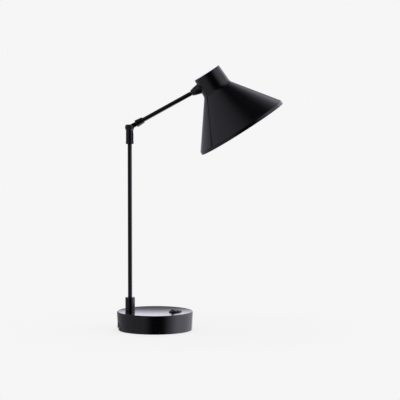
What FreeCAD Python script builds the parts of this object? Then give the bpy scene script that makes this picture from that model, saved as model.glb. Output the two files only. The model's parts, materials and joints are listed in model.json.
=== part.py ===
# Desk lamp: a weighted round base, an upright post, one tilting arm and a cone shade.
# Millimetres. Z is up, X runs from the cord inlet towards the head, Y runs to the back,
# and the origin is the centre of the base's underside on the table.
import FreeCAD, Part
import math
import os

from FreeCAD import Placement, Rotation, Vector

# Fits
fit_gap = 0.05            # between pieces of one body that seat in each other
running_gap = 0.06        # radial gap of a shaft or ball that turns
body_gap = 0.3            # between curved faces of two bodies

# Base drum
base_top_d = 141.6
base_bottom_d = 137.8
base_height = 35.0
drum_lift = 0.5           # the drum's lower edge above the table
base_edge_round = 1.6
base_wall = 2.4
base_top_wall = 2.6
dish_depth = 2.4
plate_thickness = 1.5
foot_thickness = 1.5
foot_margin = 7.5         # the pad is this much smaller in radius than the drum's underside
boss_d = 9.0
boss_circle_r = 52.0
boss_angles = (60.0, 120.0, 240.0, 300.0)
seat_margin = 0.5         # a flat seat is this much wider than what stands on it

# Plate screws
plate_screw_d = 4.0
plate_screw_length = 11.0
plate_screw_head_d = 7.2
plate_screw_head_h = 1.3

# Ballast
ballast_margin = 6.6      # between it and the drum's inside
ballast_thickness = 16.0
ballast_channel_w = 34.0
ballast_web = 4.0         # left between the pocket under the switch and the ballast's edge

# Cord inlet
inlet_half_w = 29.5
inlet_top_z = 15.8
inlet_corner_r = 13.0
inlet_lap = 2.5
inlet_plate_t = 2.0
inlet_recess = 1.15       # plate's face, in from the drum's side
inlet_seam = 0.8          # round the plate's raised face
inlet_face_lift = 0.2     # of that face above the drum's lower edge
grommet_z = 8.6
grommet_bore_d = 6.4
grommet_neck_d = 8.4
grommet_flange_d = 11.0
grommet_flange_t = 0.9

# Cord clamp
clamp_inset = 13.5        # clamp's middle, in from the drum's bottom edge
clamp_length = 8.0
clamp_width = 24.0
clamp_bar_h = 4.0
clamp_split = 0.6
clamp_play = 0.2
clamp_screw_d = 3.0
clamp_screw_pitch = 16.0
clamp_screw_head_d = 5.6
clamp_screw_head_h = 1.8

# Terminal block
block_x = -13.0
block_length = 22.0
block_width = 20.0
block_height = 12.0
block_screw_d = 3.6
block_screw_depth = 4.0
block_screw_pitch_x = 11.0
block_screw_pitch_y = 10.0

# Round rocker switch
switch_inset = 32.8       # switch's middle, in from the drum's top edge
bezel_d = 23.5
bezel_h = 2.0
bezel_round = 0.5
housing_d = 20.0
housing_depth = 11.0
housing_floor = 1.5
rocker_r = 9.1
rocker_pivot_depth = 2.5  # below the bezel's top
rocker_rise = 0.8         # middle of the rocker above the bezel's top
rocker_half_travel = 11.0
rocker_skirt = 3.5
rocker_valley_round = 3.0
rocker_pin_d = 2.0
rocker_pin_reach = 0.65   # past the rocker's ball
tab_length = 6.5
tab_width = 4.8
tab_thickness = 0.8
tab_pitch = 10.0

# Leads held inside
switch_lead_d = 1.8
switch_lead_rise = 3.5    # above the bottom plate
post_lead_d = 3.0
post_lead_rise = 6.0
post_lead_bend = 10.0
arm_lead_d = 2.6
head_lead_d = 1.2
head_lead_pitch = 1.4

# Post
post_inset = 22.9         # post's middle, in from the drum's bottom edge
post_d = 8.0
post_wall = 1.0
collar_d = 18.0
collar_top_z = 61.0
collar_round = 0.5
grub_d = 3.0
grub_height = 13.0        # of the grub screw below the collar's top
post_tail = 10.0          # below the underside of the base's top
post_washer_d = 18.0
post_washer_t = 1.5
post_nut_flats = 14.0
post_nut_h = 5.0

# Swivel at the post's top
ring_drop = 30.5          # its lower edge below the knuckle's pivot
ring_d = 14.6
ring_h = 6.7
ring_cap = 1.2
spindle_grip = 15.0       # inside the post
spindle_bore_d = 3.4
swivel_seam = 0.15
swivel_washer_d = 9.0
swivel_washer_t = 0.8
swivel_nut_flats = 8.0
swivel_nut_h = 3.0
spindle_tip = 1.0
stop_pin_d = 1.4
stop_pin_r = 5.2
stop_pin_grip = 1.0
stop_pin_reach = 1.6
stop_travel = 160.0       # each way from the middle

# Knuckle
pivot_z = 376.5
knuckle_d = 14.2
knuckle_ball_d = 17.5
knuckle_top = 5.4         # flat top above the pivot
knuckle_round = 0.4
knuckle_floor = 5.3
knuckle_cavity_d = 10.0
slot_depth = 10.4         # below the pivot
bolt_d = 4.0
bolt_head_d = 7.2
bolt_head_h = 1.7
bolt_head_seat = 6.4      # from the middle of the lamp
bolt_nut_flats = 7.0
bolt_nut_h = 2.4
bolt_nut_seat = 5.7
counterbore_play = 0.3
friction_washer_d = 8.2
friction_washer_t = 0.4

# Arm
arm_angle = 28.98         # above the horizontal
tongue_t = 5.0
tongue_w = 8.6
cone_start = 13.4         # from the pivot, along the arm
cone_start_d = 14.1
cone_end = 29.0
cone_end_d = 11.2
cone_round = 1.4
arm_d = 8.0
arm_wall = 1.0
arm_grip = 12.5           # of the tube in the socket
socket_lead_exit = 8.4    # where the lead leaves the tongue's lower edge
cup_back = 7.0            # from the ball's middle to the small end
cup_back_d = 10.2
cup_mouth_d = 19.5        # where it meets the shade's neck
cup_waist_ahead = 0.6     # from the ball's middle to the waist
cup_waist_d = 15.4
cup_waist_round = 40.0
cup_edge_round = 0.4
cup_swing = 1.1           # room round the stem in the small end
cup_tube_gap = 0.8        # between the small end and the arm's tube

# Ball joint at the head
ball_reach = 137.04       # from the pivot, along the arm
ball_d = 11.0
ball_stem_d = 6.0
stem_spigot = 12.0
seat_wall = 0.8
seat_back = 4.3           # the seat's ends, from the ball's middle
seat_front = 3.2
plug_d = 14.4
plug_ahead = 2.2          # from the ball's middle
neck_reach = 9.70         # from the ball's middle to the neck's outside
stud_d = 5.0
stud_bore_d = 2.8
stud_root = 0.5           # of the stud inside the plug
stud_tip = 1.0
stud_washer_d = 9.0
stud_washer_t = 1.0
stud_washer_curve = 23.85 # lift off the neck's inside, times the neck's diameter
stud_nut_flats = 8.0
stud_nut_h = 4.0

# Shade, spun in one piece
head_lean = 32.6          # of the shade's axis from the vertical
stem_drop = 17.19         # ball joint below the shade's top
shade_wall = 0.9
neck_top_d = 53.0
neck_flare = 3.0
neck_edge_round = 1.2
neck_cone_round = 12.0
cone_half_angle = 36.7
cone_foot_d = 177.0
cone_foot = 117.0         # below the shade's top
rim_d = 178.0
rim_round = 1.0
lip_height = 6.0          # of the band below the cone's foot

# Lampholder and its bracket
bracket_t = 1.5
bracket_w = 14.0
bracket_top = 5.0         # below the shade's top
bracket_foot = 25.0
bracket_toe = 9.0         # past the shade's axis
nipple_d = 10.0
nipple_bore_d = 7.0
nipple_top = 1.8
nipple_grip = 5.5
nipple_nut_flats = 14.0
nipple_nut_h = 2.9
holder_cap_d = 20.4
holder_cap_top_d = 17.0
holder_cap_slope = 3.5
holder_cap_length = 15.5
holder_cap_wall = 1.8
holder_cap_web = 7.0
holder_d = 27.0
holder_length = 28.0
holder_floor = 4.0
holder_round = 1.2
sleeve_d = 15.8
sleeve_bore_d = 14.2
sleeve_length = 20.0
contact_d = 5.0
contact_h = 2.1

# Bulb
bulb_cap_d = 13.8
bulb_cap_wall = 0.6
bulb_cap_length = 18.0
bulb_tip_d = 6.0
bulb_tip_h = 1.8
bulb_shoulder_h = 1.5
bulb_collar_d = 15.0
bulb_collar_length = 20.0
bulb_neck = 1.0           # plain part below the lampholder's mouth
bulb_waist_d = 18.0
bulb_waist = 6.0
globe_d = 45.0
globe_wall = 0.8
globe_drop = 16.0         # globe's middle below the collar's end

# Places worked out from the sizes above
base_top_r = base_top_d / 2
base_bottom_r = base_bottom_d / 2
post_x = post_inset - base_bottom_r
switch_x = base_top_r - switch_inset
clamp_x = clamp_inset - base_bottom_r
plate_top_z = foot_thickness + plate_thickness
under_top_z = base_height - dish_depth - base_top_wall
dish_r = base_top_r - base_edge_round
dish_ball_r = (dish_r ** 2 + dish_depth ** 2) / (2 * dish_depth)
dish_ball_z = base_height - dish_depth + dish_ball_r
post_r = post_d / 2
post_bore_r = post_r - post_wall
post_bottom_z = under_top_z - post_tail
ring_bottom_z = pivot_z - ring_drop
ring_top_z = ring_bottom_z + ring_h
post_top_z = ring_top_z - ring_cap
knuckle_bottom_z = ring_top_z + swivel_seam
knuckle_floor_z = knuckle_bottom_z + knuckle_floor
slot_floor_z = pivot_z - slot_depth
slot_half_w = tongue_t / 2 + friction_washer_t + 2 * fit_gap
slot_back = tongue_w / 2 + body_gap
spindle_r = post_bore_r - fit_gap
spindle_top_z = knuckle_floor_z + swivel_washer_t + swivel_nut_h + spindle_tip
shade_length = cone_foot + lip_height
far = max(400.0, pivot_z + 20.0)  # longer than any cut has to be


def side_radius(z):
    """Radius of the drum's drawn-in side at a height."""
    share = (z - drum_lift) / (base_height - drum_lift)
    return base_bottom_r + (base_top_r - base_bottom_r) * share


def dish_z(distance):
    """Height of the dished top at a distance from the middle."""
    return dish_ball_z - math.sqrt(dish_ball_r ** 2 - distance ** 2)


def seat_z(x, radius):
    """Height of a flat seat that lies as low as the dish does anywhere under it."""
    return dish_z(max(abs(x) - radius, 0.0))


collar_seat_r = collar_d / 2 + seat_margin
collar_seat_z = seat_z(post_x, collar_seat_r)
bezel_seat_r = bezel_d / 2 + seat_margin
bezel_seat_z = seat_z(switch_x, bezel_seat_r)
rocker_pivot_z = bezel_seat_z + bezel_h - rocker_pivot_depth
housing_bottom_z = bezel_seat_z - housing_depth

arm_frame = Placement(Vector(post_x, 0, pivot_z), Rotation(Vector(0, 1, 0), 90 - arm_angle))
ball_centre = arm_frame.multVec(Vector(0, 0, ball_reach))
head_turn = Rotation(Vector(0, 1, 0), -head_lean)
flare_tan = math.tan(math.radians(neck_flare))
flare_cos = math.cos(math.radians(neck_flare))
cone_tan = math.tan(math.radians(cone_half_angle))
cone_cos = math.cos(math.radians(cone_half_angle))


def neck_radius(drop):
    """Outside radius of the shade's neck at a drop below its top."""
    return neck_top_d / 2 + drop * flare_tan


def neck_inside(drop):
    """Inside radius of the shade's neck at a drop below its top."""
    return neck_radius(drop) - shade_wall / flare_cos


stem_x = neck_radius(stem_drop)
head_origin = ball_centre + head_turn.multVec(Vector(stem_x + neck_reach, 0, stem_drop))
head_frame = Placement(head_origin, head_turn)
ball_x = -stem_x - neck_reach
pocket_r = ball_d / 2 + seat_wall + 2 * running_gap
holder_top = bracket_top + bracket_t
holder_cap_end = holder_top + holder_cap_length
holder_end = holder_cap_end + holder_length
contact_top = holder_cap_end + holder_floor
bulb_top = contact_top + contact_h + fit_gap
bulb_cap_end = bulb_top + bulb_tip_h + bulb_cap_length
bulb_collar_end = bulb_cap_end + bulb_collar_length
globe_centre = bulb_collar_end + globe_drop


def outline(corners):
    """Closed wire in the XZ plane through (x, z) corners; a third number rounds a corner."""
    count = len(corners)
    points = [Vector(corner[0], 0, corner[1]) for corner in corners]
    joints = []
    for index, corner in enumerate(corners):
        point = points[index]
        before = points[index - 1] - point
        after = points[(index + 1) % count] - point
        radius = corner[2] if len(corner) > 2 else 0.0
        if radius <= 0:
            joints.append((point, None, point))
            continue
        half = before.getAngle(after) / 2
        room = 0.49 * min(before.Length, after.Length)
        cut = min(radius / math.tan(half), room)
        radius = cut * math.tan(half)
        before.normalize()
        after.normalize()
        inward = before + after
        inward.normalize()
        centre = point + inward * (radius / math.sin(half))
        joints.append((point + before * cut, centre - inward * radius, point + after * cut))
    edges = []
    for index, (start, middle, end) in enumerate(joints):
        if middle is not None:
            edges.append(Part.Arc(start, middle, end).toShape())
        following = joints[(index + 1) % count][0]
        if (following - end).Length > 1e-6:
            edges.append(Part.LineSegment(end, following).toShape())
    return Part.Wire(edges)


def turned(corners):
    """Solid turned about Z from (radius, height) corners."""
    return Part.Face(outline(corners)).revolve(Vector(0, 0, 0), Vector(0, 0, 1), 360)


def prism(corners, low_y, high_y):
    """Solid between two Y planes with an outline of (x, z) corners."""
    face = Part.Face(outline(corners))
    face.translate(Vector(0, low_y, 0))
    return face.extrude(Vector(0, high_y - low_y, 0))


def rod(radius, start, end):
    """Round bar between two points."""
    line = end - start
    return Part.makeCylinder(radius, line.Length, start, line)


def upright(radius, low_z, high_z, x=0.0, y=0.0):
    """Upright round bar."""
    return Part.makeCylinder(radius, high_z - low_z, Vector(x, y, low_z))


def block(low_x, high_x, low_y, high_y, low_z, high_z):
    """Box between six planes."""
    return Part.makeBox(high_x - low_x, high_y - low_y, high_z - low_z, Vector(low_x, low_y, low_z))


def hexagon(flats, low_z, high_z, bore_r):
    """Hexagon nut about Z with a plain bore."""
    corner_r = flats / 2 / math.cos(math.pi / 6)
    spokes = [math.radians(60 * step + 30) for step in range(7)]
    corners = [Vector(corner_r * math.cos(a), corner_r * math.sin(a), low_z) for a in spokes]
    rim = Part.makePolygon(corners)
    nut = Part.Face(rim).extrude(Vector(0, 0, high_z - low_z))
    chamfer = turned([(0, low_z), (flats / 2, low_z), (corner_r, low_z + corner_r - flats / 2),
                      (corner_r, high_z - corner_r + flats / 2), (flats / 2, high_z), (0, high_z)])
    return nut.common(chamfer).cut(upright(bore_r, low_z - 1, high_z + 1))


def screw(shank_r, shank_end, head_r, head_low, head_high, dome):
    """Screw about Z; the shank ends at shank_end, and dome rounds the head's free edge."""
    if shank_end > head_high:
        head = turned([(0, head_low), (head_r, head_low, dome), (head_r, head_high), (0, head_high)])
        return head.fuse(upright(shank_r, head_high, shank_end))
    head = turned([(0, head_low), (head_r, head_low), (head_r, head_high, dome), (0, head_high)])
    return head.fuse(upright(shank_r, shank_end, head_low))


def moved(shape, placement):
    """Copy of a shape in another frame."""
    copy = shape.copy()
    copy.Placement = placement.multiply(copy.Placement)
    return copy


def shifted(shape, x, y, z):
    """Copy of a shape, moved along the axes."""
    return moved(shape, Placement(Vector(x, y, z), Rotation()))


def along_y(shape, x, z, turn=-90.0):
    """Copy of a shape about Z laid along Y, through (x, z); Z turns to +Y, or to -Y for +90."""
    return moved(shape, Placement(Vector(x, 0, z), Rotation(Vector(1, 0, 0), turn)))


def along_x(shape, z):
    """Copy of a shape about Z laid along X, at a height; its Z turns to +X."""
    return moved(shape, Placement(Vector(0, 0, z), Rotation(Vector(0, 1, 0), 90)))


def bent_lead(radius, start, corner, end, bend):
    """Lead of two straight runs and one arc between them."""
    back = start - corner
    ahead = end - corner
    back.normalize()
    ahead.normalize()
    half = back.getAngle(ahead) / 2
    cut = bend / math.tan(half)
    inward = back + ahead
    inward.normalize()
    middle = corner + inward * (bend / math.sin(half) - bend)
    first = corner + back * cut
    last = corner + ahead * cut
    path = Part.Wire([Part.LineSegment(start, first).toShape(), Part.Arc(first, middle, last).toShape(),
                      Part.LineSegment(last, end).toShape()])
    ring = Part.Wire([Part.Circle(start, first - start, radius).toShape()])
    return path.makePipeShell([ring], True, True)


def boss_places():
    """Middles of the four bosses under the base's top."""
    spokes = [math.radians(angle) for angle in boss_angles]
    return [(boss_circle_r * math.cos(a), boss_circle_r * math.sin(a)) for a in spokes]


def inlet_arch(grow):
    """Block through the drum's back wall with the inlet's arched outline, grown all round."""
    half_w = inlet_half_w + grow
    corner_r = inlet_corner_r + grow
    top_z = inlet_top_z + grow
    arch = prism([(-half_w, -far), (half_w, -far), (half_w, top_z, corner_r), (-half_w, top_z, corner_r)],
                 base_bottom_r * 0.7, far)
    return moved(arch, Placement(Vector(0, 0, 0), Rotation(Vector(0, 0, 1), 90)))


def base_parts():
    """Drum, plate, pad, ballast and their screws."""
    drum = turned([(0, drum_lift), (base_bottom_r, drum_lift),
                   (base_top_r, base_height, base_edge_round), (0, base_height)])
    dish = Part.makeSphere(dish_ball_r, Vector(0, 0, dish_ball_z))
    low_z = drum_lift - 1
    high_inside_r = side_radius(under_top_z) - base_wall
    inside = turned([(0, low_z), (side_radius(low_z) - base_wall, low_z),
                     (high_inside_r, under_top_z, base_edge_round), (0, under_top_z)])
    shell = drum.cut(dish).cut(inside)
    shell = shell.cut(inlet_arch(0.0))
    bosses = [upright(boss_d / 2, plate_top_z, under_top_z, x, y) for x, y in boss_places()]
    shell = shell.fuse(bosses)
    screw_depth = foot_thickness + plate_screw_length + 1
    holes = [upright(plate_screw_d / 2 + fit_gap, 0, screw_depth, x, y) for x, y in boss_places()]
    holes.append(upright(collar_seat_r, collar_seat_z, far, post_x))
    holes.append(upright(post_r + fit_gap, 0, far, post_x))
    holes.append(upright(bezel_seat_r, bezel_seat_z, far, switch_x))
    holes.append(upright(housing_d / 2 + fit_gap, 0, far, switch_x))
    shell = shell.cut(holes)

    plate_r = min(side_radius(foot_thickness), side_radius(plate_top_z)) - base_wall - body_gap
    plate_holes = [upright(plate_screw_d / 2 + 2 * fit_gap, 0, far, x, y) for x, y in boss_places()]
    plate = upright(plate_r, foot_thickness, plate_top_z).cut(plate_holes)

    head_room = plate_screw_head_d / 2 + body_gap
    pad_holes = [upright(head_room, -1, foot_thickness + 1, x, y) for x, y in boss_places()]
    pad = upright(base_bottom_r - foot_margin, 0, foot_thickness).cut(pad_holes)

    plate_screw = screw(plate_screw_d / 2, foot_thickness + plate_screw_length, plate_screw_head_d / 2,
                        foot_thickness - plate_screw_head_h, foot_thickness, 0.8)
    screws = [shifted(plate_screw, x, y, 0) for x, y in boss_places()]

    ballast_low = plate_top_z + fit_gap
    ballast_high = ballast_low + ballast_thickness
    ballast_r = min(side_radius(ballast_low), side_radius(ballast_high)) - base_wall - ballast_margin
    ballast = upright(ballast_r, ballast_low, ballast_high)
    half_w = ballast_channel_w / 2
    pocket = block(-1, switch_x, -half_w, half_w, 0, far).fuse(upright(half_w, 0, far, switch_x))
    pocket = pocket.common(upright(ballast_r - ballast_web, 0, far))
    gaps = [block(-far, 0, -half_w, half_w, 0, far), pocket]
    gaps += [upright(boss_d / 2 + body_gap, 0, far, x, y) for x, y in boss_places()]
    ballast = ballast.cut(gaps)
    return {"base_shell": shell, "bottom_plate": plate, "foot_pad": pad,
            "plate_screws": Part.makeCompound(screws), "ballast": ballast}


def inlet_parts():
    """Arched inlet plate, the bush for the cord and the clamp behind it."""
    low_z = plate_top_z + fit_gap
    high_z = inlet_top_z + inlet_lap + 1
    low_r = side_radius(low_z) - base_wall - fit_gap
    high_r = side_radius(high_z) - base_wall - fit_gap
    back_r, top_r = low_r - inlet_plate_t, high_r - inlet_plate_t
    band = turned([(back_r, low_z), (low_r, low_z), (high_r, high_z), (top_r, high_z)])
    foot_z = drum_lift + inlet_face_lift
    foot_r = side_radius(foot_z)
    raised = turned([(foot_r - base_wall - fit_gap, foot_z), (foot_r - inlet_recess, foot_z),
                     (side_radius(high_z) - inlet_recess, high_z), (top_r + 0.5, high_z),
                     (back_r + 0.5, low_z), (low_r, low_z)])
    hole = along_x(upright(grommet_neck_d / 2 + fit_gap, -far, 0), grommet_z)
    plate = band.common(inlet_arch(inlet_lap)).fuse(raised.common(inlet_arch(-inlet_seam))).cut(hole)

    bore_r = grommet_bore_d / 2
    neck_r = grommet_neck_d / 2
    flange_r = grommet_flange_d / 2
    flange_sides = (side_radius(grommet_z - flange_r), side_radius(grommet_z + flange_r))
    plate_out_r = max(flange_sides) - inlet_recess
    plate_in_r = min(flange_sides) - base_wall - fit_gap - inlet_plate_t
    near = -plate_out_r - fit_gap
    inner = fit_gap - math.sqrt(plate_in_r ** 2 - flange_r ** 2)
    grommet = turned([(bore_r, near - grommet_flange_t), (flange_r, near - grommet_flange_t, 0.5),
                      (flange_r, near), (neck_r, near), (neck_r, inner), (flange_r, inner),
                      (flange_r, inner + grommet_flange_t, 0.5), (bore_r, inner + grommet_flange_t)])

    half_l = clamp_length / 2
    half_w = clamp_width / 2
    groove = along_x(upright(bore_r + clamp_play, -far, far), grommet_z)
    low = block(clamp_x - half_l, clamp_x + half_l, -half_w, half_w, plate_top_z + fit_gap, grommet_z)
    bar_z = grommet_z + clamp_split
    high = block(clamp_x - half_l, clamp_x + half_l, -half_w, half_w, bar_z, bar_z + clamp_bar_h)
    shank_r = clamp_screw_d / 2
    sides = (-clamp_screw_pitch / 2, clamp_screw_pitch / 2)
    shank_holes = [upright(shank_r + fit_gap, plate_top_z + 1, far, clamp_x, y) for y in sides]
    one = screw(shank_r, plate_top_z + 2, clamp_screw_head_d / 2, bar_z + clamp_bar_h,
                bar_z + clamp_bar_h + clamp_screw_head_h, 0.8)
    return {"inlet_plate": plate, "cord_grommet": along_x(grommet, grommet_z),
            "cord_clamp_base": low.cut(groove).cut(shank_holes),
            "cord_clamp_bar": high.cut(groove).cut(shank_holes),
            "clamp_screws": Part.makeCompound([shifted(one, clamp_x, y, 0) for y in sides])}


def wiring_parts():
    """Terminal block, its screws and the leads that lie inside."""
    low_z = plate_top_z + fit_gap
    top_z = low_z + block_height
    block_left = block_x - block_length / 2
    block_right = block_x + block_length / 2
    body = block(block_left, block_right, -block_width / 2, block_width / 2, low_z, top_z)
    places = [(block_x + i * block_screw_pitch_x / 2, j * block_screw_pitch_y / 2)
              for i in (-1, 1) for j in (-1, 1)]
    radius = block_screw_d / 2
    wells = [upright(radius + fit_gap, top_z - block_screw_depth, far, x, y) for x, y in places]
    screws = [upright(radius, top_z - block_screw_depth + fit_gap, top_z - 1, x, y) for x, y in places]

    lead_z = plate_top_z + switch_lead_rise
    tab_z = housing_bottom_z - tab_length
    side = tab_pitch / 2
    turns = []
    for y in (-side, side):
        start = Vector(block_right + fit_gap, y, lead_z)
        end = Vector(switch_x, y, tab_z - fit_gap)
        bend = min(0.95 * (end.z - lead_z), 0.45 * (switch_x - block_right))
        turns.append(bent_lead(switch_lead_d / 2, start, Vector(switch_x, y, lead_z), end, bend))
    post_z = plate_top_z + post_lead_rise
    post_lead = bent_lead(post_lead_d / 2, Vector(block_left - fit_gap, 0, post_z),
                          Vector(post_x, 0, post_z), Vector(post_x, 0, spindle_top_z + 1), post_lead_bend)
    return {"terminal_block": body.cut(wells), "terminal_screws": Part.makeCompound(screws),
            "switch_leads": Part.makeCompound(turns), "post_lead": post_lead}


def switch_parts():
    """Round rocker switch: housing, rocker and two tabs."""
    top_z = bezel_seat_z + bezel_h
    ball_r = rocker_r + body_gap
    housing = turned([(0, housing_bottom_z), (housing_d / 2, housing_bottom_z),
                      (housing_d / 2, bezel_seat_z), (bezel_d / 2, bezel_seat_z),
                      (bezel_d / 2, top_z, bezel_round), (0, top_z)])
    well = upright(housing_d / 2 * 0.75, housing_bottom_z + housing_floor, rocker_pivot_z)
    centre = Vector(0, 0, rocker_pivot_z)
    pin_hole_r = rocker_pin_d / 2 + running_gap
    reach = rocker_r + rocker_pin_reach + fit_gap
    pin_hole = rod(pin_hole_r, centre - Vector(0, reach, 0), centre + Vector(0, reach, 0))
    housing = housing.cut([well, Part.makeSphere(ball_r, centre), pin_hole])

    half_travel = math.radians(rocker_half_travel)
    middle_z = rocker_pivot_depth + rocker_rise
    end_x = 1.5 * rocker_r
    end_z = middle_z + end_x * math.tan(half_travel)
    trough = prism([(-end_x, -rocker_skirt), (end_x, -rocker_skirt), (end_x, end_z),
                    (0, middle_z, rocker_valley_round), (-end_x, end_z)], -end_x, end_x)
    rocker = Part.makeSphere(rocker_r).common(trough)
    pin_reach = rocker_r + rocker_pin_reach
    rocker = rocker.fuse(rod(rocker_pin_d / 2, Vector(0, -pin_reach, 0), Vector(0, pin_reach, 0)))
    tipped = Placement(Vector(switch_x, 0, rocker_pivot_z), Rotation(Vector(0, 1, 0), rocker_half_travel))

    half_w, half_t = tab_width / 2, tab_thickness / 2
    tabs = [block(switch_x - half_w, switch_x + half_w, y - half_t, y + half_t,
                  housing_bottom_z - tab_length, housing_bottom_z - fit_gap)
            for y in (-tab_pitch / 2, tab_pitch / 2)]
    return {"switch_housing": shifted(housing, switch_x, 0, 0), "switch_rocker": moved(rocker, tipped),
            "switch_contacts": Part.makeCompound(tabs)}


def post_parts():
    """Collar, tube, its nut under the base's top, and the fixed half of the swivel."""
    collar = turned([(post_r + fit_gap, collar_seat_z), (collar_d / 2, collar_seat_z),
                     (collar_d / 2, collar_top_z, collar_round), (post_r + fit_gap, collar_top_z)])
    grub_z = collar_top_z - grub_height
    grub_hole = rod(grub_d / 2 + fit_gap, Vector(0, 0, grub_z), Vector(0, collar_d, grub_z))
    grub = rod(grub_d / 2, Vector(0, post_r + 2 * fit_gap, grub_z), Vector(0, collar_d / 2 - 0.3, grub_z))
    socket = rod(grub_d / 4, Vector(0, collar_d / 2 - 1.5, grub_z), Vector(0, collar_d / 2, grub_z))
    tube = upright(post_r, post_bottom_z, post_top_z - fit_gap).cut(upright(post_bore_r, 0, far))
    washer_z = under_top_z - post_washer_t
    washer = upright(post_washer_d / 2, washer_z, under_top_z).cut(upright(post_r + fit_gap, 0, far))
    nut = hexagon(post_nut_flats, washer_z - post_nut_h, washer_z, post_r + fit_gap)

    ring = turned([(post_r + fit_gap, ring_bottom_z), (ring_d / 2, ring_bottom_z, knuckle_round),
                   (ring_d / 2, ring_top_z, knuckle_round), (spindle_r + fit_gap, ring_top_z),
                   (spindle_r + fit_gap, post_top_z), (post_r + fit_gap, post_top_z)])
    pin_low = ring_top_z - stop_pin_grip
    pin_top = ring_top_z + stop_pin_reach
    pin_hole = upright(stop_pin_d / 2 + fit_gap, pin_low - fit_gap, far, -stop_pin_r)
    pin = upright(stop_pin_d / 2, pin_low, pin_top, -stop_pin_r)
    spindle = upright(spindle_r, post_top_z - spindle_grip, spindle_top_z)
    spindle = spindle.cut(upright(spindle_bore_d / 2, 0, far))
    washer_top = knuckle_floor_z + fit_gap + swivel_washer_t
    top_washer = upright(swivel_washer_d / 2, knuckle_floor_z + fit_gap, washer_top)
    top_washer = top_washer.cut(upright(spindle_r + fit_gap, 0, far))
    top_nut = hexagon(swivel_nut_flats, washer_top, washer_top + swivel_nut_h, spindle_r + fit_gap)
    parts = {"post_collar": collar.cut(grub_hole), "collar_grub_screw": grub.cut(socket), "post_tube": tube,
             "post_washer": washer, "post_nut": nut, "post_top_ring": ring.cut(pin_hole),
             "swivel_stop_pin": pin, "swivel_spindle": spindle, "swivel_washer": top_washer,
             "swivel_nut": top_nut}
    return {node: shifted(shape, post_x, 0, 0) for node, shape in parts.items()}


def knuckle_parts():
    """Knuckle that turns on the post, with the bolt, nut and washers of the arm's pivot."""
    pivot = Vector(0, 0, pivot_z)
    ball = Part.makeSphere(knuckle_ball_d / 2, pivot)
    stem = turned([(0, knuckle_bottom_z), (knuckle_d / 2, knuckle_bottom_z, knuckle_round),
                   (knuckle_d / 2, pivot_z), (0, pivot_z)])
    body = ball.fuse(stem).cut(block(-far, far, -far, far, pivot_z + knuckle_top, pivot_z + far))
    slot = block(-slot_back, far, -slot_half_w, slot_half_w, slot_floor_z, pivot_z + far)
    cavity = upright(knuckle_cavity_d / 2, knuckle_floor_z, slot_floor_z + fit_gap)
    bore = upright(spindle_r + running_gap, 0, knuckle_floor_z + 1)
    groove_top = ring_top_z + stop_pin_reach + body_gap
    groove_half = stop_pin_d / 2 + body_gap / 2
    groove = upright(stop_pin_r + groove_half, 0, groove_top)
    groove = groove.cut(upright(stop_pin_r - groove_half, 0, groove_top))
    rib_angle = math.radians(180 - stop_travel) - math.asin(stop_pin_d / 2 / stop_pin_r)
    rib_half_w = stop_pin_r * math.sin(rib_angle) - body_gap / 4
    groove = groove.cut(block(0, far, -rib_half_w, rib_half_w, 0, far))
    front, back = pivot - Vector(0, far, 0), pivot + Vector(0, far, 0)
    bolt_hole = rod(bolt_d / 2 + fit_gap, front, back)
    head_bore = rod(bolt_head_d / 2 + counterbore_play, front, pivot - Vector(0, bolt_head_seat, 0))
    nut_corner_r = bolt_nut_flats / 2 / math.cos(math.pi / 6)
    nut_bore = rod(nut_corner_r + counterbore_play, pivot + Vector(0, bolt_nut_seat, 0), back)
    body = body.cut([slot, cavity, bore, groove, bolt_hole, head_bore, nut_bore])

    bolt_end = bolt_nut_seat + bolt_nut_h
    head_top = -bolt_head_seat - bolt_head_h
    bolt = screw(bolt_d / 2, bolt_end, bolt_head_d / 2, head_top, -bolt_head_seat, 0.7)
    recess = upright(bolt_d / 4, head_top - 1, -bolt_head_seat - bolt_head_h / 3)
    nut = hexagon(bolt_nut_flats, bolt_nut_seat, bolt_nut_seat + bolt_nut_h, bolt_d / 2 + fit_gap)
    low = tongue_t / 2 + fit_gap
    washers = [upright(friction_washer_d / 2, start, start + friction_washer_t).cut(
        upright(bolt_d / 2 + fit_gap, -far, far)) for start in (low, -low - friction_washer_t)]
    parts = {"knuckle_body": body, "pivot_bolt": along_y(bolt.cut(recess), 0, pivot_z),
             "pivot_nut": along_y(nut, 0, pivot_z),
             "friction_washers": Part.makeCompound([along_y(washer, 0, pivot_z) for washer in washers])}
    return {node: shifted(shape, post_x, 0, 0) for node, shape in parts.items()}


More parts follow.
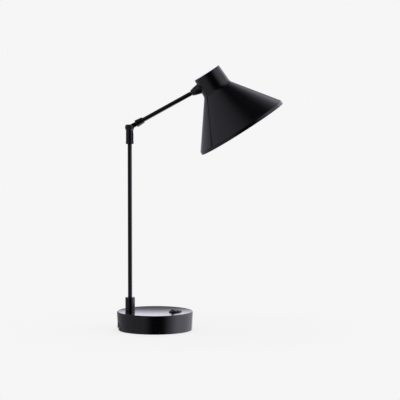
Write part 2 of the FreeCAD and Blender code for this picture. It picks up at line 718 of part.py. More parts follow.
def arm_parts():
    """Socket with its tongue, tube, lead, ball and the ball's seat; Z runs along the arm here."""
    half_t = tongue_t / 2
    half_w = tongue_w / 2
    tongue = block(-half_w, half_w, -half_t, half_t, 0, cone_start + cone_round)
    tongue = tongue.fuse(rod(half_w, Vector(0, -half_t, 0), Vector(0, half_t, 0)))
    cone = turned([(0, cone_start), (cone_start_d / 2, cone_start, cone_round),
                   (cone_end_d / 2, cone_end, 0.5), (0, cone_end)])
    arm_r = arm_d / 2
    tube_start = cone_end - arm_grip
    tube_end = ball_reach - cup_back - cup_tube_gap
    socket = tongue.fuse(cone)
    socket = socket.cut([upright(arm_r + fit_gap, tube_start, far),
                         rod(bolt_d / 2 + running_gap, Vector(0, -far, 0), Vector(0, far, 0)),
                         rod(arm_lead_d / 2 + 0.1, Vector(0, 0, tube_start + 1),
                             Vector(half_w + 1, 0, socket_lead_exit - 1))])
    tube = upright(arm_r, tube_start + fit_gap, tube_end).cut(upright(arm_r - arm_wall, 0, far))

    ball = Vector(0, 0, ball_reach)
    stem = upright(ball_stem_d / 2, tube_end + fit_gap, ball_reach)
    stem = stem.fuse([Part.makeSphere(ball_d / 2, ball),
                      upright(arm_r - arm_wall - fit_gap, tube_end - stem_spigot, tube_end + 1)])
    stem = stem.cut(upright(arm_lead_d / 2 + fit_gap, 0, far))
    seat_in_r = ball_d / 2 + running_gap
    seat = Part.makeSphere(seat_in_r + seat_wall, ball).cut([
        Part.makeSphere(seat_in_r, ball), upright(far, ball_reach - far, ball_reach - seat_back),
        upright(far, ball_reach + seat_front, far), upright(ball_stem_d / 2 + running_gap, 0, ball_reach)])
    parts = {"arm_socket": socket, "arm_tube": tube, "ball_stem": stem, "ball_seat": seat,
             "arm_lead": upright(arm_lead_d / 2, tube_start + 2 * fit_gap, ball_reach)}
    return {node: moved(shape, arm_frame) for node, shape in parts.items()}


def cup_parts():
    """Bell-shaped cup that holds the ball, and the plug that closes it; its mouth hugs the shade."""
    ball = Vector(0, 0, ball_reach)
    start = ball_reach - cup_back
    mouth = ball_reach + neck_reach
    beyond = mouth + cup_mouth_d / 2
    around = turned([(0, fit_gap)] + shade_corners(-fit_gap, -shade_length) + [(0, -shade_length)])
    around = moved(around, head_frame)
    cup = turned([(0, start), (cup_back_d / 2, start, cup_edge_round),
                  (cup_waist_d / 2, ball_reach + cup_waist_ahead, cup_waist_round),
                  (cup_mouth_d / 2, mouth), (cup_mouth_d / 2, beyond), (0, beyond)])
    cup = cup.cut([Part.makeSphere(pocket_r, ball), upright(pocket_r, ball_reach, far),
                   upright(plug_d / 2 + fit_gap, ball_reach + plug_ahead - fit_gap, far),
                   upright(ball_stem_d / 2 + cup_swing, 0, ball_reach)])
    plug = upright(plug_d / 2, ball_reach + plug_ahead, beyond).cut(Part.makeSphere(pocket_r, ball))
    cup = moved(cup, arm_frame).cut(around)
    plug = moved(plug, arm_frame).cut(around)

    stem = Vector(ball_x, 0, -stem_drop)
    tip = Vector(stud_tip_x(), 0, -stem_drop)
    stud = rod(stud_d / 2, stem + Vector(pocket_r + stud_root, 0, 0), tip)
    bore = rod(stud_bore_d / 2, stem, tip + Vector(1, 0, 0))
    plug = plug.fuse(moved(stud, head_frame)).cut(moved(bore, head_frame))
    return {"head_cup": cup, "cup_plug": plug}


def stud_washer_x():
    """Side of the washer on the neck's inside, from the shade's axis."""
    return -neck_inside(stem_drop) + 2 * fit_gap + bracket_t + stud_washer_curve / neck_top_d


def stud_tip_x():
    """End of the stud that holds the head, from the shade's axis."""
    return stud_washer_x() + stud_washer_t + stud_nut_h + stud_tip


def shade_corners(inset, end_z):
    """Shade's outline from its top edge to its rim, set inwards by a wall's thickness."""
    top_r = neck_top_d / 2 - inset / flare_cos
    foot_r = cone_foot_d / 2 - inset / cone_cos
    join = (foot_r - cone_foot * cone_tan - top_r) / (flare_tan - cone_tan)
    lip_r = cone_foot_d / 2 - inset
    lip_join = cone_foot + (lip_r - foot_r) / cone_tan
    return [(top_r + inset * flare_tan, -inset, max(neck_edge_round - inset, 0.2)),
            (top_r + join * flare_tan, -join, neck_cone_round + inset),
            (lip_r, -lip_join, rim_round), (rim_d / 2 - inset, end_z)]


def shade_parts():
    """Shade and the fixings of its stud; the shade's top is at Z 0 here and its axis is Z."""
    outer = turned([(0, 0)] + shade_corners(0.0, -shade_length) + [(0, -shade_length)])
    inner_end = -shade_length - 1
    inner = turned([(0, -shade_wall)] + shade_corners(shade_wall, inner_end) + [(0, inner_end)])
    stem = Vector(ball_x, 0, -stem_drop)
    stud_hole = rod(stud_d / 2 + fit_gap, stem, Vector(0, 0, -stem_drop))
    shade = outer.cut(inner).cut(stud_hole)

    washer_x = stud_washer_x()
    nut_x = washer_x + stud_washer_t
    on_stem = Placement(Vector(0, 0, -stem_drop), Rotation(Vector(0, 1, 0), 90))
    washer = upright(stud_washer_d / 2, washer_x, nut_x).cut(upright(stud_d / 2 + fit_gap, -far, far))
    nut = hexagon(stud_nut_flats, nut_x, nut_x + stud_nut_h, stud_d / 2 + fit_gap)

    port = holder_cap_d / 2 - holder_cap_wall - 0.4
    lead_start = ball_x + pocket_r + stud_root
    leads = [rod(head_lead_d / 2, Vector(lead_start, y, -stem_drop), Vector(-port, y, -stem_drop))
             for y in (-head_lead_pitch / 2, head_lead_pitch / 2)]
    parts = {"shade": shade, "stud_washer": moved(washer, on_stem),
             "stud_nut": moved(nut, on_stem), "head_leads": Part.makeCompound(leads)}
    return {node: moved(shape, head_frame) for node, shape in parts.items()}


def holder_parts():
    """Bracket and lampholder under the shade's top; Z is the shade's axis."""
    half_w = bracket_w / 2
    gap = 2 * fit_gap
    high_r = neck_inside(bracket_top) - gap
    low_r = neck_inside(bracket_foot) - gap
    leg = turned([(high_r - bracket_t, -bracket_top), (high_r, -bracket_top), (low_r, -bracket_foot),
                  (low_r - bracket_t, -bracket_foot)]).common(block(-far, 0, -half_w, half_w, -far, 0))
    shelf = block(-far, bracket_toe, -half_w, half_w, -holder_top, -bracket_top)
    shelf = shelf.common(upright(high_r, -holder_top, -bracket_top))
    stud_hole = rod(stud_d / 2 + fit_gap, Vector(-far, 0, -stem_drop), Vector(0, 0, -stem_drop))
    bracket = leg.fuse(shelf).cut([upright(nipple_d / 2 + fit_gap, -far, far), stud_hole])

    nipple_end = holder_top + nipple_grip
    nipple = upright(nipple_d / 2, -nipple_end, -nipple_top).cut(upright(nipple_bore_d / 2, -far, far))
    nut = hexagon(nipple_nut_flats, -bracket_top + fit_gap, -bracket_top + fit_gap + nipple_nut_h,
                  nipple_d / 2 + fit_gap)

    cap_r = holder_cap_d / 2
    cap = turned([(0, -holder_top), (holder_cap_top_d / 2, -holder_top, 1.0),
                  (cap_r, -holder_top - holder_cap_slope, 1.0),
                  (cap_r, -holder_cap_end), (0, -holder_cap_end)])
    port = rod(stud_bore_d / 2, Vector(-cap_r - 1, 0, -stem_drop), Vector(0, 0, -stem_drop))
    cap = cap.cut([upright(nipple_d / 2 + fit_gap, -far, far), port,
                   upright(cap_r - holder_cap_wall, -far, -holder_top - holder_cap_web)])
    body = turned([(0, -holder_cap_end), (holder_d / 2, -holder_cap_end, holder_round),
                   (holder_d / 2, -holder_end, holder_round), (0, -holder_end)])
    body = body.cut(upright(sleeve_d / 2 + fit_gap, -far, -contact_top))
    sleeve = upright(sleeve_d / 2, -contact_top - sleeve_length, -contact_top).cut(
        upright(sleeve_bore_d / 2, -far, far))
    contact = upright(contact_d / 2, -contact_top - contact_h, -contact_top)
    parts = {"holder_bracket": bracket, "holder_nipple": nipple, "holder_nut": nut, "lampholder_cap": cap,
             "lampholder_body": body, "lampholder_sleeve": sleeve, "holder_contact": contact}
    return {node: moved(shape, head_frame) for node, shape in parts.items()}


def bulb_parts():
    """Bulb with a screw cap, a plastic collar and a globe; Z is the shade's axis."""
    cap_r = bulb_cap_d / 2
    tip_end = bulb_top + bulb_tip_h
    slope_end = tip_end + bulb_shoulder_h
    cap = turned([(0, -bulb_top), (bulb_tip_d / 2, -bulb_top, 0.5), (bulb_tip_d / 2, -tip_end),
                  (cap_r, -slope_end), (cap_r, -bulb_cap_end), (0, -bulb_cap_end)])
    cap = cap.cut(upright(cap_r - bulb_cap_wall, -far, -slope_end - bulb_cap_wall))
    globe_r = globe_d / 2
    edge_r = math.sqrt(globe_r ** 2 - globe_drop ** 2)
    neck_end = max(holder_end, bulb_cap_end) + bulb_neck
    collar = turned([(0, -bulb_cap_end), (bulb_collar_d / 2, -bulb_cap_end, 0.8),
                     (bulb_collar_d / 2, -neck_end, 2.0), (bulb_waist_d / 2, -neck_end - bulb_waist, 8.0),
                     (edge_r, -bulb_collar_end), (0, -bulb_collar_end)])
    centre = Vector(0, 0, -globe_centre)
    above = block(-far, far, -far, far, -bulb_collar_end, far)
    globe = Part.makeSphere(globe_r, centre).cut([Part.makeSphere(globe_r - globe_wall, centre), above])
    parts = {"bulb_cap": cap, "bulb_collar": collar, "bulb_globe": globe}
    return {node: moved(shape, head_frame) for node, shape in parts.items()}


def main():
    """Build every piece and write one file for each."""
    os.makedirs("parts", exist_ok=True)
    nodes = {}
    for build in (base_parts, inlet_parts, wiring_parts, switch_parts, post_parts, knuckle_parts,
                  arm_parts, cup_parts, shade_parts, holder_parts, bulb_parts):
        nodes.update(build())
    for node, shape in nodes.items():
        shape.exportStep("parts/" + node + ".step")
        box = shape.BoundBox
        print(f"{node:20s} solids {len(shape.Solids)} valid {shape.isValid()} volume {shape.Volume:10.1f}"
              f"  x {box.XMin:7.2f} {box.XMax:7.2f}  y {box.YMin:7.2f} {box.YMax:7.2f}"
              f"  z {box.ZMin:7.2f} {box.ZMax:7.2f}")
    print("ball joint at", [round(value, 3) for value in ball_centre])
    print("shade's top at", [round(value, 3) for value in head_origin])
    print("rocker's pin at", switch_x, round(rocker_pivot_z, 3), "bezel seat", round(bezel_seat_z, 3))


main()
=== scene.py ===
import json
import logging
import math
from collections.abc import Callable
from dataclasses import dataclass
from enum import Enum

import bpy
import numpy as np
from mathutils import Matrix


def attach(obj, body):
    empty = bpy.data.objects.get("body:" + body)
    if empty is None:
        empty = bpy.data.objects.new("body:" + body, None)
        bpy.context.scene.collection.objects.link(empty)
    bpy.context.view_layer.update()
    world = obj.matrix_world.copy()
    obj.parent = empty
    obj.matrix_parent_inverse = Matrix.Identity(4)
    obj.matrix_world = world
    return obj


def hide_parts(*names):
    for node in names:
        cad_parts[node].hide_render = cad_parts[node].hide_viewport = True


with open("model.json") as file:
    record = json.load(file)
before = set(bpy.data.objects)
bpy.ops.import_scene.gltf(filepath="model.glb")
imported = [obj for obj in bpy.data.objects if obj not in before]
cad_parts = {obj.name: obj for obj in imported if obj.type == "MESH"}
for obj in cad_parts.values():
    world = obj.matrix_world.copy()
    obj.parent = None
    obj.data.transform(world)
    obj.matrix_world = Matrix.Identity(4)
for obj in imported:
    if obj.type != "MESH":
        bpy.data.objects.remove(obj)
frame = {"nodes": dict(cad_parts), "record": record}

# Desk lamp in metres, in the CAD model's frame: Z up, X from the cord inlet towards the head,
# Y to the back, origin in the middle of the base's underside. Sizes below are in millimetres.
MM = 0.001
LOG = logging.getLogger("desk_lamp")
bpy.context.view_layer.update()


# Outlines and skins: every new surface is made from these

@dataclass(frozen=True)
class Corner:
    """A corner of an outline: radius and height in millimetres, and how far it is rounded."""

    r: float
    z: float
    fillet: float = 0.0


class Outline:
    """Line in the (radius, height) plane, made of runs with a normal at each end of each run.

    It goes round the material with the material on its left, so its normals point outwards.
    A run shorter than TOUCH is left out. A rounding takes at most the share ROOM of each of its runs.
    """

    TOUCH = 1e-6
    ROOM = 0.49

    def __init__(self) -> None:
        """Starts an empty outline."""
        self.points: list[np.ndarray] = []
        self.starts: list[np.ndarray] = []
        self.ends: list[np.ndarray] = []

    def _extend(self, points: np.ndarray, starts: np.ndarray, ends: np.ndarray) -> None:
        """Adds runs that begin at the outline's last point.

        Args:
            points: The runs' points, the first of which is the outline's last one.
            starts: Normal at the start of each run.
            ends: Normal at the end of each run.
        """
        self.points.extend(points if not self.points else points[1:])
        self.starts.extend(starts)
        self.ends.extend(ends)

    def line(self, start: np.ndarray, end: np.ndarray) -> None:
        """Adds a straight run; its normal is its direction turned a quarter to the right.

        Args:
            start: First point.
            end: Last point.
        """
        run = end - start
        length = np.hypot(*run)
        if length < self.TOUCH:
            return
        normal = np.array([run[1], -run[0]]) / length
        self._extend(np.array([start, end]), normal[None], normal[None])

    def arc(self, centre: np.ndarray, radius: float, begin: float, end: float, step: float = 9.0) -> None:
        """Adds an arc: centre + radius * (cos a, sin a) for an angle a that goes evenly from begin to end.

        Args:
            centre: Centre of the arc.
            radius: Its radius.
            begin: First angle, in degrees.
            end: Last angle, in degrees; the material is inside the arc where it grows.
            step: Largest angle between two points.
        """
        count = max(2, math.ceil(abs(end - begin) / step))
        angle = np.radians(np.linspace(begin, end, count + 1))
        ray = np.stack([np.cos(angle), np.sin(angle)], axis=1)
        normal = ray * (1.0 if end > begin else -1.0)
        self._extend(centre + radius * ray, normal[:-1], normal[1:])

    def then(self, other: "Outline") -> None:
        """Adds another outline, joined by a straight run where the two don't meet."""
        self.line(self.points[-1], other.points[0])
        self._extend(np.array(other.points), np.array(other.starts), np.array(other.ends))

    @classmethod
    def _rounding(cls, spot: np.ndarray, back: np.ndarray, ahead: np.ndarray,
                  fillet: float) -> tuple[np.ndarray, np.ndarray, tuple]:
        """Finds the circle that touches both runs of a corner.

        Its centre lies on the corner's bisector at its radius over the sine of half the corner's angle,
        and it leaves the runs at its radius over the tangent of that half angle.

        Args:
            spot: The corner.
            back: Way from it to the corner before.
            ahead: Way from it to the corner after.
            fillet: The circle's radius, where there is room for it.

        Returns:
            Where the circle meets the first run and the second one, and the arc's centre, radius and angles.
        """
        room = cls.ROOM * min(np.hypot(*back), np.hypot(*ahead))
        back, ahead = back / np.hypot(*back), ahead / np.hypot(*ahead)
        half = math.acos(float(np.clip(back @ ahead, -1, 1))) / 2
        cut = min(fillet / math.tan(half), room)
        radius = cut * math.tan(half)
        middle = (back + ahead) / np.hypot(*(back + ahead))
        centre = spot + middle * (radius / math.sin(half))
        entry, leave = spot + back * cut, spot + ahead * cut
        begin = math.degrees(math.atan2(*(entry - centre)[::-1]))
        sweep = math.degrees(math.atan2(*(leave - centre)[::-1])) - begin
        return entry, leave, (centre, radius, begin, begin + (sweep + 180) % 360 - 180)

    @classmethod
    def rounded(cls, corners: list[Corner], closed: bool = False, step: float = 9.0) -> "Outline":
        """Makes an outline through corners, each of which may be rounded.

        Args:
            corners: The corners in order, with the material on the left.
            closed: Whether the last corner joins the first.
            step: Largest angle between two points of a rounding.

        Returns:
            The outline.
        """
        made = cls()
        spots = [np.array([corner.r, corner.z]) for corner in corners]
        first = last = None
        for index, (corner, spot) in enumerate(zip(corners, spots)):
            entry, leave, turn = spot, spot, None
            if corner.fillet > 0 and (closed or 0 < index < len(corners) - 1):
                ahead = spots[(index + 1) % len(spots)] - spot
                entry, leave, turn = cls._rounding(spot, spots[index - 1] - spot, ahead, corner.fillet)
            if last is not None:
                made.line(last, entry)
            if turn is not None:
                made.arc(*turn, step=step)
            first = entry if first is None else first
            last = leave
        if closed:
            made.line(last, first)
        return made


@dataclass(frozen=True)
class Stance:
    """Where own axes stand in the lamp's middle plane: origin in millimetres, lean about Y in degrees."""

    x: float = 0.0
    z: float = 0.0
    lean: float = 0.0

    def turn(self, vectors: np.ndarray) -> np.ndarray:
        """Turns vectors about Y: x' = x cos + z sin and z' = z cos - x sin of the lean.

        Args:
            vectors: Array whose last axis is x, y and z.

        Returns:
            The turned vectors.
        """
        cosine, sine = math.cos(math.radians(self.lean)), math.sin(math.radians(self.lean))
        x, y, z = vectors[..., 0], vectors[..., 1], vectors[..., 2]
        return np.stack([x * cosine + z * sine, y, z * cosine - x * sine], axis=-1)

    def place(self, points: np.ndarray) -> np.ndarray:
        """Points turned, moved to the origin and brought to metres."""
        return (self.turn(points) + np.array([self.x, 0.0, self.z])) * MM

    def within(self, places: np.ndarray) -> np.ndarray:
        """Places in metres, brought back into these axes in millimetres."""
        return Stance(lean=-self.lean).turn(places / MM - np.array([self.x, 0.0, self.z]))


class Skin:
    """Surface in the making: patches of four-cornered faces with a normal at every corner.

    Corners in one cell of a grid of WELD metres become one vertex; SHIFT keeps round sizes off the
    cells' walls.
    """

    WELD = 1e-6
    SHIFT = 0.37

    def __init__(self, stance: Stance = Stance()) -> None:
        """Starts an empty surface.

        Args:
            stance: Where the patches' own axes stand in the lamp.
        """
        self.stance = stance
        self.corners: list[np.ndarray] = []
        self.normals: list[np.ndarray] = []

    @staticmethod
    def circle(steps: int) -> np.ndarray:
        """Angles of a full turn in even steps.

        Args:
            steps: How many steps the turn has.

        Returns:
            The steps' ends; the last is 0 again, so that the seam closes exactly.
        """
        angle = np.linspace(0.0, 2 * math.pi, steps + 1)
        angle[-1] = 0.0
        return angle

    @staticmethod
    def _quads(low: np.ndarray, high: np.ndarray) -> np.ndarray:
        """Corners of the faces between rows: low left, low right, high right and high left."""
        return np.stack([low[:, :-1], low[:, 1:], high[:, 1:], high[:, :-1]], axis=2).reshape(-1, 4, 3)

    def _add(self, corners: np.ndarray, normals: np.ndarray) -> None:
        """Adds faces of shape (faces, 4, 3), seen anticlockwise from outside, in the stance's axes."""
        self.corners.append(self.stance.place(corners))
        self.normals.append(self.stance.turn(normals))

    def turned(self, outline: Outline, steps: int = 96,
               warp: Callable[[np.ndarray], np.ndarray] | None = None) -> None:
        """Adds an outline turned about Z: (r cos a, r sin a, z) for an angle a in even steps.

        Args:
            outline: The outline.
            steps: How many faces go round.
            warp: Moves the points before they are placed, where it is given.
        """
        angle = self.circle(steps)
        cosine, sine = np.cos(angle), np.sin(angle)

        def ring(values: list[np.ndarray]) -> np.ndarray:
            """Turns (radius, height) values into an array of shape (values, angles, 3)."""
            r, z = np.array(values)[:, :1], np.array(values)[:, 1:]
            return np.stack([r * cosine, r * sine, np.broadcast_to(z, (len(z), len(angle)))], axis=-1)

        whole = ring(outline.points)
        if warp is not None:
            whole = warp(whole)
        self._add(self._quads(whole[:-1], whole[1:]), self._quads(ring(outline.starts), ring(outline.ends)))

    def grid(self, points: np.ndarray, closed: bool = True) -> None:
        """Adds a grid of points; a point's normal is the cross product of its two slopes.

        Args:
            points: Array of shape (rows, columns, 3); seen from outside the columns go to the right
                and the rows go up.
            closed: Whether the last column is the first one again.
        """
        if closed:
            wide = np.concatenate([points[:, -2:-1], points, points[:, 1:2]], axis=1)
            across = (wide[:, 2:] - wide[:, :-2]) / 2
        else:
            across = np.gradient(points, axis=1)
        normal = np.cross(across, np.gradient(points, axis=0))
        normal /= np.maximum(np.linalg.norm(normal, axis=-1, keepdims=True), 1e-12)
        self._add(self._quads(points[:-1], points[1:]), self._quads(normal[:-1], normal[1:]))

    def side(self, radius: np.ndarray, drop: np.ndarray) -> None:
        """Adds a round side: (radius cos a, radius sin a, -drop) for an angle a in even steps.

        Args:
            radius: Array of shape (heights, angles), whose last column is the first one again.
            drop: How far each row lies below the origin.
        """
        angle = self.circle(radius.shape[1] - 1)
        high = np.broadcast_to(-drop[:, None], radius.shape)
        self.grid(np.stack([radius * np.cos(angle), radius * np.sin(angle), high], axis=-1))

    @staticmethod
    def window(values: np.ndarray, low: float, high: float, ease: float) -> np.ndarray:
        """Window of 3 s^2 - 2 s^3, where s goes from 0 to 1 over the ease inside each end.

        Args:
            values: Where it is wanted.
            low: Lower end.
            high: Upper end.
            ease: Length of each slope.

        Returns:
            1 well inside and 0 outside.
        """
        rise = np.clip(np.minimum(values - low, high - values) / ease, 0.0, 1.0)
        return rise * rise * (3 - 2 * rise)

    def build(self, name: str) -> bpy.types.Object:
        """Welds the patches into one mesh and gives each face corner its normal.

        Args:
            name: The piece's name.

        Returns:
            The new object, at the origin, with its place in its mesh.
        """
        corners = np.concatenate(self.corners)
        normals = np.concatenate(self.normals)
        keys = np.floor(corners.reshape(-1, 3) / self.WELD + self.SHIFT).astype(np.int64)
        _, first, index = np.unique(keys, axis=0, return_index=True, return_inverse=True)
        index = index.reshape(-1, 4)
        kept = index != np.roll(index, -1, axis=1)
        whole = kept.sum(axis=1) >= 3
        index, normals, kept = index[whole], normals[whole], kept[whole]
        loops = np.split(index[kept], np.cumsum(kept.sum(axis=1))[:-1])
        mesh = bpy.data.meshes.new(name)
        mesh.from_pydata(corners.reshape(-1, 3)[first].tolist(), [], [loop.tolist() for loop in loops])
        mesh.shade_smooth()
        mesh.normals_split_custom_set(normals[kept].tolist())
        mesh.validate()
        piece = bpy.data.objects.new(name, mesh)
        bpy.context.scene.collection.objects.link(piece)
        return piece


# Finishes

Socket = bpy.types.NodeSocket
# A grain's drift, which is a slow change over the surface, and its height, both from 0 to 1
Pattern = tuple[Socket, Socket]


class Sockets:
    """Short ways to place and wire nodes in one tree."""

    def __init__(self, tree: bpy.types.NodeTree) -> None:
        """Takes the tree that the nodes go into."""
        self.tree = tree

    @classmethod
    def of(cls, owner: bpy.types.Material | bpy.types.World) -> "Sockets":
        """Switches on and clears a material's or a world's nodes.

        Args:
            owner: The material or world.

        Returns:
            Its node maker.
        """
        owner.use_nodes = True
        owner.node_tree.nodes.clear()
        return cls(owner.node_tree)

    def add(self, kind: str, links: dict | None = None, **settings: object) -> bpy.types.Node:
        """Places one node.

        Args:
            kind: The node's type name.
            links: Input names or numbers with the output socket or the value that each one gets.
            settings: The node's own properties.

        Returns:
            The node.
        """
        node = self.tree.nodes.new(kind)
        for name, value in settings.items():
            setattr(node, name, value)
        for name, value in (links or {}).items():
            if isinstance(value, Socket):
                self.tree.links.new(value, node.inputs[name])
            else:
                node.inputs[name].default_value = value
        return node

    def math(self, operation: str, first: object, second: object = 0.0, third: object = 0.0,
             clamp: bool = False) -> Socket:
        """Places one Math node.

        Args:
            operation: What it does.
            first: First value or socket.
            second: Second value or socket.
            third: Third value or socket.
            clamp: Whether the result is kept between 0 and 1.

        Returns:
            Its output.
        """
        links = {0: first, 1: second, 2: third}
        return self.add("ShaderNodeMath", links, operation=operation, use_clamp=clamp).outputs[0]

    def spread(self, value: object, low: float, high: float, start: float, end: float,
               smooth: bool = False) -> Socket:
        """Places one Map Range node: value from low to high becomes start to end.

        Args:
            value: Value or socket.
            low: Lowest value taken.
            high: Highest value taken.
            start: What low becomes.
            end: What high becomes.
            smooth: Whether the change eases in and out.

        Returns:
            Its output.
        """
        kind = "SMOOTHSTEP" if smooth else "LINEAR"
        links = {0: value, 1: low, 2: high, 3: start, 4: end}
        return self.add("ShaderNodeMapRange", links, interpolation_type=kind).outputs[0]

    def mix(self, share: object, first: object, second: object, colours: bool = False,
            blend: str = "MIX") -> Socket:
        """Places one Mix node: first where the share is 0, second where it is 1.

        Args:
            share: Value or socket.
            first: First value, colour or socket.
            second: Second value, colour or socket.
            colours: Whether it mixes colours.
            blend: How colours are mixed.

        Returns:
            Its output.
        """
        kind, slot, result = ("RGBA", 6, 2) if colours else ("FLOAT", 2, 0)
        links = {"Factor": share, slot: first, slot + 1: second}
        return self.add("ShaderNodeMix", links, data_type=kind, blend_type=blend).outputs[result]


class Grain(Enum):
    """Kinds of small surface texture, each made by one shared node group."""

    PEEL = "Paint peel"
    BRUSHED = "Brushed lines"
    MOULDED = "Moulded grain"
    BRAIDED = "Braid"


class Group(Sockets):
    """A shared node group in the making."""

    def __init__(self, name: str, inputs: dict[str, str], outputs: dict[str, str]) -> None:
        """Makes the group with nothing between its inputs and outputs.

        Args:
            name: The group's name.
            inputs: Each input's name and kind.
            outputs: Each output's name and kind.
        """
        super().__init__(bpy.data.node_groups.new(name, "ShaderNodeTree"))
        for way, wanted in (("INPUT", inputs), ("OUTPUT", outputs)):
            for socket, kind in wanted.items():
                self.tree.interface.new_socket(socket, in_out=way, socket_type=f"NodeSocket{kind}")
        self.given = self.add("NodeGroupInput").outputs

    def per(self, size: str, count: float = 1.0) -> Socket:
        """Waves per metre: a count of them in the length that the named input gives."""
        return self.math("DIVIDE", count, self.given[size])

    def noise(self, scale: object, vector: Socket | None = None, **others: float) -> Socket:
        """Places one Noise node.

        Args:
            scale: Waves per metre.
            vector: Where the noise is taken, where that isn't the group's own vector.
            others: The node's other inputs.

        Returns:
            The noise, from 0 to 1.
        """
        links = {"Vector": vector or self.given["Vector"], "Scale": scale, **others}
        return self.add("ShaderNodeTexNoise", links).outputs[0]


class GrainGroup(Group):
    """One grain: its pattern gives a height, and a drift that varies the colour and the roughness."""

    INPUTS = {"Vector": "Vector", "Size": "Float", "Colour": "Color", "Colour drift": "Float",
              "Roughness": "Float", "Roughness drift": "Float"}
    OUTPUTS = {"Colour": "Color", "Roughness": "Float", "Height": "Float"}
    LINE_STRETCH = (0.06, 0.06, 1.0)
    STRANDS = 0.3
    STRAND_SLANT = 0.8

    def __init__(self, grain: Grain) -> None:
        """Makes the group.

        Args:
            grain: Which grain it is.
        """
        super().__init__(grain.value, self.INPUTS, self.OUTPUTS)
        drift, height = {Grain.PEEL: self._peel, Grain.BRUSHED: self._brushed,
                         Grain.MOULDED: self._moulded, Grain.BRAIDED: self._braided}[grain]()
        swing = self.math("SUBTRACT", drift, 0.5)
        shade = self.math("MULTIPLY_ADD", swing, self.given["Colour drift"], 1.0)
        colour = self.mix(1.0, self.given["Colour"], shade, colours=True, blend="MULTIPLY")
        rough = self.math("MULTIPLY", swing, self.given["Roughness drift"])
        rough = self.math("ADD", rough, self.given["Roughness"], clamp=True)
        self.add("NodeGroupOutput", {"Colour": colour, "Roughness": rough, "Height": height})

    def _peel(self) -> Pattern:
        """Sprayed paint: low soft waves of about one size, with a slow drift of gloss."""
        return self.noise(14.0, Detail=2.0), self.noise(self.per("Size"), Detail=1.5, Roughness=0.4)

    def _brushed(self) -> Pattern:
        """Machined or plated metal: fine lines round the piece, with a slow drift of tone.

        Returns:
            The drift and the height.
        """
        stretched = self.add("ShaderNodeMapping", {"Vector": self.given["Vector"],
                                                   "Scale": self.LINE_STRETCH})
        lines = self.noise(self.per("Size"), stretched.outputs[0], Detail=3.0)
        both = self.math("ADD", lines, self.noise(160.0, Detail=2.0))
        return self.math("MULTIPLY", both, 0.5), lines

    def _moulded(self) -> Pattern:
        """Moulded or cast skin: small rounded cells over a finer noise.

        Returns:
            The drift and the height.
        """
        scale = self.per("Size")
        cells = self.add("ShaderNodeTexVoronoi", {"Vector": self.given["Vector"], "Scale": scale},
                         feature="SMOOTH_F1")
        both = self.math("ADD", cells.outputs[0], self.noise(scale, Detail=4.0))
        return self.noise(45.0, Detail=3.0), self.math("MULTIPLY", both, 0.5)

    def _braided(self) -> Pattern:
        """Sleeve on a lead: two sets of slanting waves that cross, as a braid's strands do.

        Returns:
            The drift and the height.
        """
        scale = self.per("Size", self.STRANDS)
        strands = []
        for slant in (self.STRAND_SLANT, -self.STRAND_SLANT):
            skewed = self.add("ShaderNodeMapping", {"Vector": self.given["Vector"],
                                                    "Rotation": (0.0, slant, 0.0)})
            waves = self.add("ShaderNodeTexWave", {"Vector": skewed.outputs[0], "Scale": scale},
                             bands_direction="Z")
            strands.append(waves.outputs[1])
        return self.noise(90.0, Detail=2.0), self.math("MAXIMUM", *strands)


class EdgeRub(Group):
    """Handled edges: where the surface turns within the reach, patches are lighter and smoother.

    An edge is where the normal softened over the reach leaves the plain one: their dot product falls
    through TURN. The patches are a noise that rises through PATCHES, from LEAST to 1.
    """

    INPUTS = {"Vector": "Vector", "Colour": "Color", "Rubbed colour": "Color", "Roughness": "Float",
              "Polish": "Float", "Reach": "Float", "Patch size": "Float"}
    TURN = (0.985, 0.80)
    PATCHES = (0.38, 0.62)
    LEAST = 0.15

    def __init__(self) -> None:
        """Makes the group."""
        super().__init__("Edge_rub", self.INPUTS, {"Colour": "Color", "Roughness": "Float"})
        softened = self.add("ShaderNodeBevel", {"Radius": self.given["Reach"]}, samples=4).outputs[0]
        plain = self.add("ShaderNodeNewGeometry").outputs["Normal"]
        turn = self.add("ShaderNodeVectorMath", {0: softened, 1: plain}, operation="DOT_PRODUCT")
        edge = self.spread(turn.outputs["Value"], *self.TURN, 0.0, 1.0)
        patches = self.spread(self.noise(self.per("Patch size"), Detail=3.0), *self.PATCHES, self.LEAST, 1.0)
        mask = self.math("MULTIPLY", edge, patches)
        colour = self.mix(mask, self.given["Colour"], self.given["Rubbed colour"], colours=True)
        polish = self.math("MULTIPLY", mask, self.given["Polish"])
        rough = self.math("SUBTRACT", self.given["Roughness"], polish, clamp=True)
        self.add("NodeGroupOutput", {"Colour": colour, "Roughness": rough})


class Textures:
    """The shared node groups, each built once."""

    def __init__(self) -> None:
        """Makes the groups."""
        self.grains = {grain: GrainGroup(grain).tree for grain in Grain}
        self.edge_rub = EdgeRub().tree


